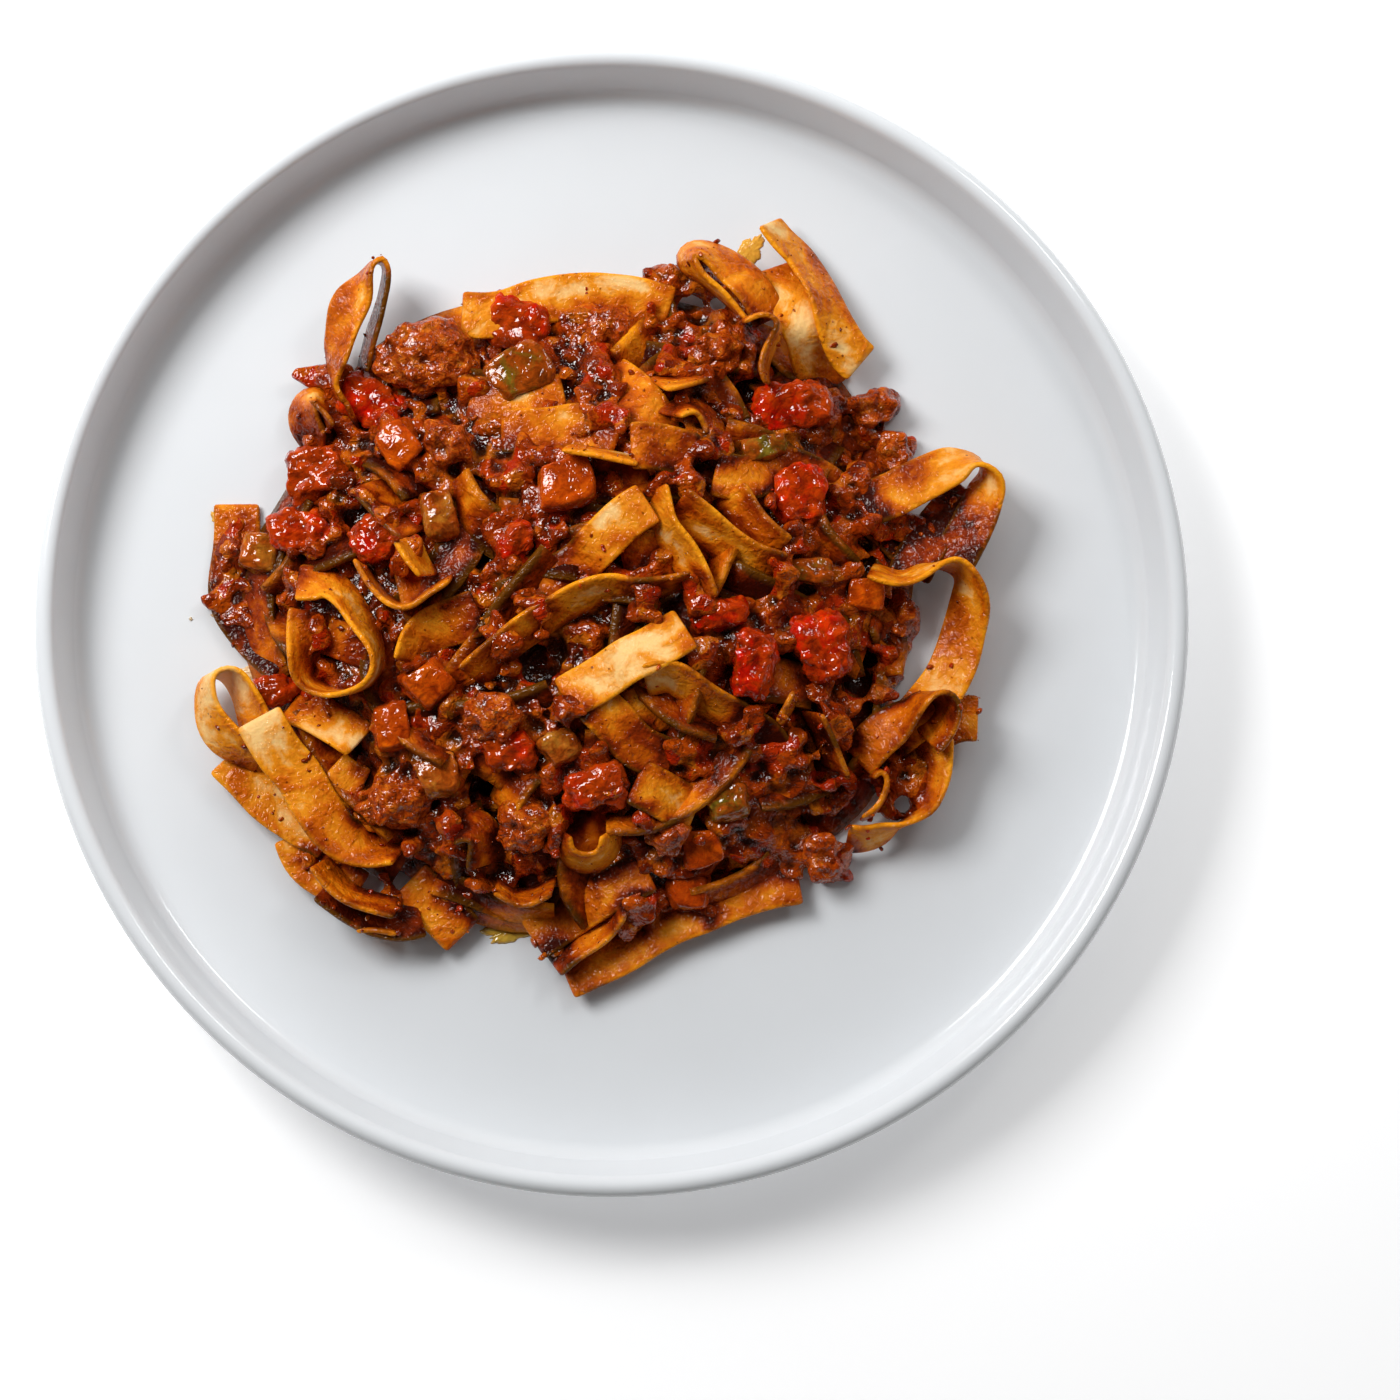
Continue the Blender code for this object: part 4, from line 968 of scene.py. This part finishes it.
def scatterCrumbs(name, spots, draw, shapes):
    # spots are (centre, radius); every crumb has its own turn and stretch, in one joined mesh
    base = [(meshPoints(s.data).copy(), [list(p.vertices) for p in s.data.polygons]) for s in shapes]
    points, faces = [], []
    count = 0
    for centre, radius in spots:
        shape, polygons = base[draw.randrange(len(base))]
        turn = Matrix.Rotation(draw.uniform(0, math.tau), 3, Vector((draw.gauss(0, 1), draw.gauss(0, 1),
                                                                       draw.gauss(0, 1))).normalized())
        stretch = Matrix.Diagonal(Vector((draw.uniform(0.9, 1.8), draw.uniform(0.8, 1.2), draw.uniform(0.6, 0.95))))
        grow = numpy.array(turn @ stretch) * radius * 2
        placed = shape @ grow.T + numpy.array(centre)
        points.append(placed)
        faces += [[corner + count for corner in polygon] for polygon in polygons]
        count += len(placed)
    mesh = bpy.data.meshes.new(name)
    mesh.from_pydata(numpy.concatenate(points).tolist(), [], faces)
    mesh.update()
    item = bpy.data.objects.new(name, mesh)
    bpy.context.scene.collection.objects.link(item)
    return item


def crumbShapes():
    return [crumbShape(f"crumb_{i}", 0.5, 2, 0.22, i + 1) for i in range(6)]


def sauceCore():
    # a closed dome just under the noodles, with the pits pressed into it
    deselectAll()
    bpy.ops.mesh.primitive_uv_sphere_add(segments=96, ring_count=60, radius=1.0)
    item = bpy.context.object
    item.name = "sauce_core"
    points = meshPoints(item.data)
    for index, (x, y, z) in enumerate(points.tolist()):
        angle, share = math.atan2(y, x), min(1.0, math.hypot(x, y))
        if z < 0:
            share = share * 0.98
        reach = heapReach(angle) * 0.985
        px, py = share * reach * math.cos(angle), share * reach * math.sin(angle)
        if z >= 0:
            rise = heapHeight(px, py) - heap["coreDrop"] * mm - pitDepth(px, py)
            top = plateFloor + max(rise, 0.9 * mm)
        else:
            top = plateFloor + 0.35 * mm
        points[index] = (px, py, top)
    setMeshPoints(item.data, points)
    return item


def coverAt(tops, x, y):
    return max(tops.at(x + dx, y + dy) for dx in (-2 * mm, 0, 2 * mm) for dy in (-2 * mm, 0, 2 * mm))


def crumbSpots(tops, draw):
    spots = []
    for i in range(sauce["crumbs"]):           # everywhere in the heap, under the noodles and between them
        angle = i * goldenTurn
        share = math.sqrt((i + 0.5) / sauce["crumbs"]) * 0.985
        reach = heapReach(angle) * share
        x = reach * math.cos(angle) + draw.uniform(-1.2, 1.2) * mm
        y = reach * math.sin(angle) + draw.uniform(-1.2, 1.2) * mm
        radius = (sauce["smallest"] + (sauce["largest"] - sauce["smallest"]) * draw.random() ** 1.6) * mm
        height = plateFloor + heapHeight(x, y)
        pit = pitDepth(x, y)
        if pit > 1.5 * mm:
            height -= pit + heap["coreDrop"] * mm
        elif coverAt(tops, x, y) > 0:
            height -= (heap["coreDrop"] + 0.8) * mm
        else:
            height += draw.uniform(-1.4, 1.2) * mm
        spots.append((Vector((x, y, max(height, plateFloor + radius * 0.6))), radius))
    for hx, hy, size, rise in sauce["heaps"]:  # and over them where the sauce was spooned on
        for _ in range(round(sauce["perArea"] * size * size)):
            turn, away = draw.uniform(0, math.tau), math.sqrt(draw.random())
            x, y = (hx + size * away * math.cos(turn)) * mm, (hy + size * away * math.sin(turn)) * mm
            if pitDepth(x, y) > 2.5 * mm:
                continue
            radius = draw.uniform(*sauce["heaped"]) * mm * (1.0 - 0.35 * away)
            ground = plateFloor + heapHeight(x, y)
            under = max(ground, min(coverAt(tops, x, y), ground + 6 * mm))
            height = under + rise * (1 - away * away) * mm - radius * (0.30 + 0.35 * away)
            spots.append((Vector((x, y, max(height, plateFloor + radius * 0.5))), radius))
    return spots


def mergeSkin(item, voxel, closing, softness):
    # one skin round everything: swollen, made one and shrunk back, which fills the narrow gaps
    for step, swell in enumerate((0.0, closing, -closing)):
        if swell:
            grow = item.modifiers.new(f"swell {step}", "DISPLACE")
            grow.strength = swell * mm
            grow.mid_level = 0.0
        if swell >= 0:
            remesh = item.modifiers.new(f"one skin {step}", "REMESH")
            remesh.mode = "VOXEL"
            remesh.voxel_size = voxel * mm
    relax = item.modifiers.new("soft", "SMOOTH")
    relax.factor = 0.5
    relax.iterations = softness
    applyModifiers(item)


def makeSauce(tops, shapes):
    draw = random.Random(sauce["seed"])
    spots = crumbSpots(tops, draw)
    crumbs = scatterCrumbs("sauce_crumbs", spots, draw, shapes)
    core = sauceCore()
    item = joinPieces([core, crumbs], "bolognese_sauce")
    mergeSkin(item, sauce["voxel"], sauce["closing"], 5)
    mesh = item.data
    points = meshPoints(mesh)
    normals = numpy.array([v.normal for v in mesh.vertices])
    for index, point in enumerate(points.tolist()):
        spot = Vector(point)
        rough = sum(noise.noise(spot * finer) * share for finer, share in sauce["waves"])
        points[index] = spot + Vector(normals[index]) * rough * sauce["roughness"] * mm
    setMeshPoints(mesh, points)
    thin = item.modifiers.new("thin", "DECIMATE")
    thin.ratio = sauce["triangles"] / sum(len(face.vertices) - 2 for face in mesh.polygons)
    thin.use_collapse_triangulate = True
    applyModifiers(item)
    # painted shade in the sauce's hollows and deep inside the heap
    paintCreaseShade(item, 1.0, True)
    activate(item)
    bpy.ops.object.shade_smooth()
    return item


# how strongly hollows and the heap's depths get painted shade
creaseShading = {"rounds": 6, "gain": 2.2, "darkestAt": 4.5, "sunkShadeMost": 0.7}


def paintCreaseShade(item, strength, sunk=False):
    # painted shade: how far each point lies below its neighbours' mean, and below the heap's top, darker down there
    mesh = item.data
    points = meshPoints(mesh).astype(float)
    edges = numpy.empty(len(mesh.edges) * 2, numpy.int32)
    mesh.edges.foreach_get("vertices", edges)
    edges = edges.reshape(-1, 2)
    count = numpy.zeros(len(points))
    numpy.add.at(count, edges[:, 0], 1)
    numpy.add.at(count, edges[:, 1], 1)
    normals = numpy.empty(len(points) * 3, numpy.float32)
    mesh.vertices.foreach_get("normal", normals)
    normals = normals.reshape(-1, 3)
    mean = points.copy()
    for _ in range(creaseShading["rounds"]):
        total = numpy.zeros_like(mean)
        numpy.add.at(total, edges[:, 0], mean[edges[:, 1]])
        numpy.add.at(total, edges[:, 1], mean[edges[:, 0]])
        mean = total / numpy.maximum(count, 1)[:, None]
    depth = ((mean - points) * normals).sum(1) / mm * creaseShading["gain"] * strength
    # painted shade deep inside the heap, growing with the depth below its top
    if sunk:
        below = numpy.array([(plateFloor + heapHeight(x, y) - z) / mm for x, y, z in points.tolist()])
        depth += numpy.clip(below / creaseShading["darkestAt"], 0.0, creaseShading["sunkShadeMost"])
    setAttribute(mesh, "paintedShade", numpy.clip(depth, 0.0, 1.0))


# Toppings as (x, y, length, width, height in millimetres, turn in degrees)
diceTable = {
    "tomato": [(-53, 47, 13, 9, 8, -30), (-21, 65, 15, 11, 9, -20), (-65, 31, 13, 12, 9, 20), (-51, 15, 10, 9, 7, 15),
        (-68, 18, 12, 9, 8, 5), (39, 45, 15, 10, 8, 10), (41, 25, 10, 12, 8, 5), (30, -12, 9, 13, 9, -8),
        (45, -7, 10, 15, 9, 15), (-22, -31, 10, 7, 7, 0), (-3, -38, 13, 9, 8, 12), (-74, -17, 10, 7, 7, 5),
        (23, -2, 11, 7, 7, 20), (-21, 14, 8, 7, 6, 30)],
    "carrot": [(-45, 36, 9, 9, 7, 35), (-10, 27, 11, 10, 8, 10), (-47, -25, 7, 10, 7, 10), (-39, -16, 9, 8, 7, 40),
        (19, -51, 8, 7, 6, 15), (17, -60, 9, 7, 6, 5), (55, 4, 8, 7, 7, 0)],
    "celery": [(-20, 52, 13, 10, 8, 30), (32, 35, 11, 6, 6, 15), (42, 8, 10, 6, 6, 0), (25, -41, 9, 8, 7, 10),
        (12, 66, 7, 8, 6, 20)],
    "onion": [(-37, 21, 7, 11, 6, 15), (-77, 13, 8, 11, 7, -15), (-11, -30, 8, 7, 6, 30), (-37, -35, 8, 9, 6, 20)],
}
meatTable = [
    (-41, 56, 25, 20, 14, 10), (-35, 36, 10, 12, 8, 0), (-25, -23, 14, 10, 9, 10), (-1, 63, 14, 11, 9, 0),
    (-46, -41, 17, 12, 9, 15), (-18, -46, 12, 12, 8, 0), (46, -53, 9, 11, 8, 30), (58, 46, 9, 9, 8, 0),
    (62, 36, 8, 10, 8, 10), (64, 0, 6, 10, 7, 0), (12, -49, 9, 8, 7, 0), (23, 56, 13, 11, 8, 20),
]
topping = {"sink": 0.28, "rest": 0.65, "skew": 0.21, "ball": 0.60, "cuts": 9,
           "waves": ((170, 1.0), (420, 0.6), (900, 0.35)), "cornerFrom": 0.5, "cornerReach": 0.366}
foods = {                                      # material, surface roughness, squareness lost
    "tomato": ("stewed tomato", 0.24, 0.64), "carrot": ("cooked carrot", 0.07, 0.34),
    "celery": ("cooked celery", 0.10, 0.44), "onion": ("cooked onion", 0.11, 0.50),
}


def settleTopping(item, spot):
    x, y, length, width, height = [value * mm for value in spot[:5]]
    rise = heapHeight(x, y) + (0.5 - topping["sink"]) * height
    middle = Vector((x, y, plateFloor + max(rise, topping["rest"] * height)))
    item.scale = (length, width, height)
    item.rotation_euler = (0.0, 0.0, math.radians(spot[5]))
    item.location = middle
    placeInMesh(item)


def roughen(item, amount, seed):
    # amount in millimetres, in waves from broad to fine
    mesh = item.data
    shift = Vector((seed * 1.7, seed * 2.3, seed * 0.9))
    points = meshPoints(mesh)
    normals = numpy.array([v.normal for v in mesh.vertices])
    for index, point in enumerate(points.tolist()):
        spot = Vector(point)
        wave = sum(noise.noise(spot * finer + shift) * share for finer, share in topping["waves"])
        points[index] = spot + Vector(normals[index]) * wave * amount * mm
    setMeshPoints(mesh, points)


def makeDice(kind, number, spot, seed, material):
    surface, roundness = foods[kind][1], foods[kind][2]
    draw = random.Random(seed)
    deselectAll()
    bpy.ops.mesh.primitive_cube_add(size=1.0)
    item = bpy.context.object
    item.name = f"{kind}_dice_{number}"
    corners = meshPoints(item.data)
    for index in range(len(corners)):
        corners[index] += numpy.array([draw.uniform(-topping["skew"], topping["skew"]) for _ in range(3)])
    setMeshPoints(item.data, corners)
    bpy.ops.object.mode_set(mode="EDIT")
    bpy.ops.mesh.select_all(action="SELECT")
    bpy.ops.mesh.subdivide(number_cuts=topping["cuts"])
    bpy.ops.object.mode_set(mode="OBJECT")
    points = meshPoints(item.data)
    for index, point in enumerate(points.tolist()):
        way = Vector(point)
        ball = way.normalized() * topping["ball"]
        corner = max(0.0, way.length - topping["cornerFrom"]) / topping["cornerReach"]
        points[index] = way.lerp(ball, min(1.0, roundness * (0.25 + corner)))
    setMeshPoints(item.data, points)
    settleTopping(item, spot)
    soft = item.modifiers.new("soft", "SUBSURF")
    soft.levels = soft.render_levels = 1
    applyModifiers(item)
    roughen(item, surface * 6.0, seed)
    # painted shade in the dice's hollows, at half strength
    paintCreaseShade(item, 0.5)
    activate(item)
    bpy.ops.object.shade_smooth()
    item.data.materials.append(material)
    finishPiece(item, [f"{kind}_{number}"])


def makeLump(number, spot, seed, material, shapes):
    draw = random.Random(seed)
    item = crumbShape(f"meat_lump_{number}", 0.46, 4, 0.16, seed)
    settleTopping(item, spot)
    lengths = spot[:5]
    around = []
    for _ in range(int(lengths[2] * lengths[3] / 6)):   # smaller crumbs pressed together round it
        turn, height = draw.uniform(0, math.tau), draw.uniform(-0.1, 0.95)
        flat = math.sqrt(1 - height * height)
        way = Vector((flat * math.cos(turn) * lengths[2], flat * math.sin(turn) * lengths[3],
                      height * lengths[4])) * 0.44 * mm
        way.rotate(Matrix.Rotation(math.radians(spot[5]), 3, "Z"))
        low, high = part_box(f"meat_{number}")
        around.append(((low + high) / 2 + way * 0.80, draw.uniform(1.4, 2.8) * mm))
    crumbs = scatterCrumbs(f"lump_crumbs_{number}", around, draw, shapes)
    item = joinPieces([item, crumbs], f"meat_lump_{number}")
    mergeSkin(item, 0.45, 0.5, 6)
    roughen(item, 0.5, seed)
    # painted shade in the lump's creases
    paintCreaseShade(item, 1.0)
    activate(item)
    bpy.ops.object.shade_smooth()
    item.data.materials.append(material)
    finishPiece(item, [f"meat_{number}"])


def makeToppings(shapes):
    seed = 1
    material = makeWetFood("browned minced beef")
    for number, spot in enumerate(meatTable, start=1):
        makeLump(number, spot, seed, material, shapes)
        seed += 1
    for kind, spots in diceTable.items():
        material = makeWetFood(foods[kind][0])
        for number, spot in enumerate(spots, start=1):
            makeDice(kind, number, spot, seed, material)
            seed += 1


# Bits of mince and drops of sauce that cling to the noodles
cling = {"count": 900, "smallest": 0.18, "largest": 0.9, "seed": 31}


def makeClinging(places, shapes, material):
    draw = random.Random(cling["seed"])
    spots = []
    while len(spots) < cling["count"]:
        tones, frames = places[draw.randrange(len(places))]
        share = draw.random()
        if draw.random() > spread(tones, share) * 1.3:
            continue
        centre, side, face = frames[round(share * (len(frames) - 1))]
        across = draw.uniform(-0.5, 0.5) * noodle["width"] * mm
        out = face if face.z > 0 else -face
        radius = (cling["smallest"] + (cling["largest"] - cling["smallest"]) * draw.random() ** 5) * mm
        spots.append((centre + side * across + out * (noodle["thickness"] / 2 * mm - radius * 0.1), radius))
    item = scatterCrumbs("clinging_mince", spots, draw, shapes)
    activate(item)
    bpy.ops.object.shade_smooth()
    item.data.materials.append(material)
    finishPiece(item, [])


# Thin smears of oily sauce on the plate as (x, y, length, width in millimetres, turn, colour)
smears = [
    (-85, 21, 8, 3.5, -25, "#e8b04a"), (-87, 0.5, 2.5, 1.5, 0, "#e7c692"), (-78, -12, 11, 4, 12, "#eed2a4"),
    (31, 82, 8, 5, 60, "#e3a63a"), (-22, -69, 13, 5, 10, "#c9a23c"), (-14, -71, 8, 4, -20, "#b98a2a"),
    (-93, -0.5, 0.8, 0.8, 0, "#e9cfa6"),
]


def makeSmears():
    material, tree, shader = newMaterial("oily tomato sauce film")
    # a thin film of oil and tomato on the glaze: pale orange, wet, thicker in the middle
    place = objectPlace(tree)
    tint = addNode(tree, "ShaderNodeAttribute", {"attribute_name": "tint",
                                                 "attribute_type": "GEOMETRY"}).outputs["Color"]
    speckle = noiseTexture(tree, place, 0.9, 3.0).outputs["Fac"]
    tree.links.new(mixColour(tree, mapValue(tree, speckle, 0.45, 0.7, 0.0, 0.45), tint, "#c46f17"),
                   shader.inputs["Base Color"])
    shader.inputs["Roughness"].default_value = 0.12
    shader.inputs["Coat Weight"].default_value = 0.6
    shader.inputs["Coat Roughness"].default_value = 0.05
    bumpChain(tree, shader, [(speckle, 0.12)])
    made = []
    for number, (x, y, length, width, turn, colour) in enumerate(smears):
        deselectAll()
        bpy.ops.mesh.primitive_circle_add(vertices=48, radius=0.5, fill_type="TRIFAN")
        item = bpy.context.object
        item.name = f"smear_{number}"
        bpy.ops.object.mode_set(mode="EDIT")
        bpy.ops.mesh.select_all(action="SELECT")
        bpy.ops.mesh.subdivide(number_cuts=3)
        bpy.ops.object.mode_set(mode="OBJECT")
        points = meshPoints(item.data)
        for index, point in enumerate(points.tolist()):
            way = Vector(point)
            ragged = 1 + 0.45 * noise.noise(way.normalized() * 1.4 + Vector((number * 5, 0, 0))) \
                + 0.22 * noise.noise(way.normalized() * 4.5 + Vector((0, number * 5, 0)))
            edge = min(1.0, way.length * 2)
            points[index] = way * ragged
            points[index][2] = 0.12 + (1 - edge ** 4) * (0.28 + 0.25 * noise.noise(way * 9))
        setMeshPoints(item.data, points)
        item.scale = (length * mm, width * mm, mm)
        item.rotation_euler = (0, 0, math.radians(turn))
        item.location = (x * mm, y * mm, plateFloor - 0.06 * mm)
        placeInMesh(item)
        layer = item.data.attributes.new("tint", "FLOAT_COLOR", "POINT")
        layer.data.foreach_set("color", linearColour(colour) * len(item.data.vertices))
        made.append(item)
    item = joinPieces(made, "sauce_smears")
    wall = item.modifiers.new("underside", "SOLIDIFY")
    wall.thickness = 0.10 * mm
    wall.offset = -1.0
    applyModifiers(item)
    bpy.ops.object.shade_smooth()
    item.data.materials.append(material)
    finishPiece(item, [])


def stainNoodles(item, sauceItem):
    # noodles are browner where they touch the sauce
    mesh = sauceItem.data
    tree = BVHTree.FromPolygons([v.co for v in mesh.vertices], [p.vertices for p in mesh.polygons])
    layer = item.data.attributes["stain"]
    values = numpy.empty(len(item.data.vertices), numpy.float32)
    layer.data.foreach_get("value", values)
    for index, vertex in enumerate(item.data.vertices):
        near = tree.find_nearest(vertex.co, 4.0 * mm)
        if near[0] is not None:
            values[index] += 0.40 * (1 - smoothStep(0.1, 3.8, near[3] / mm))
    layer.data.foreach_set("value", values)


# everything in turn
makeStudio()
makePlate()
tops = HeightMap()
lower, upper, places = makeNoodles(tops)
print("noodles laid")
shapes = crumbShapes()
sauceItem = makeSauce(tops, shapes)
print("sauce poured")
stainNoodles(lower, sauceItem)
stainNoodles(upper, sauceItem)
pastaMaterial = makePasta()
for item in (lower, upper):
    item.data.materials.append(pastaMaterial)
finishPiece(lower, ["pasta"])
finishPiece(upper, ["pasta"])
sauceMaterial = makeWetFood("bolognese sauce")
sauceItem.data.materials.append(sauceMaterial)
finishPiece(sauceItem, ["pasta"])
makeToppings(shapes)
makeClinging(places, shapes, sauceMaterial)
makeSmears()
for shape in shapes:
    bpy.data.objects.remove(shape, do_unlink=True)

print("all made")
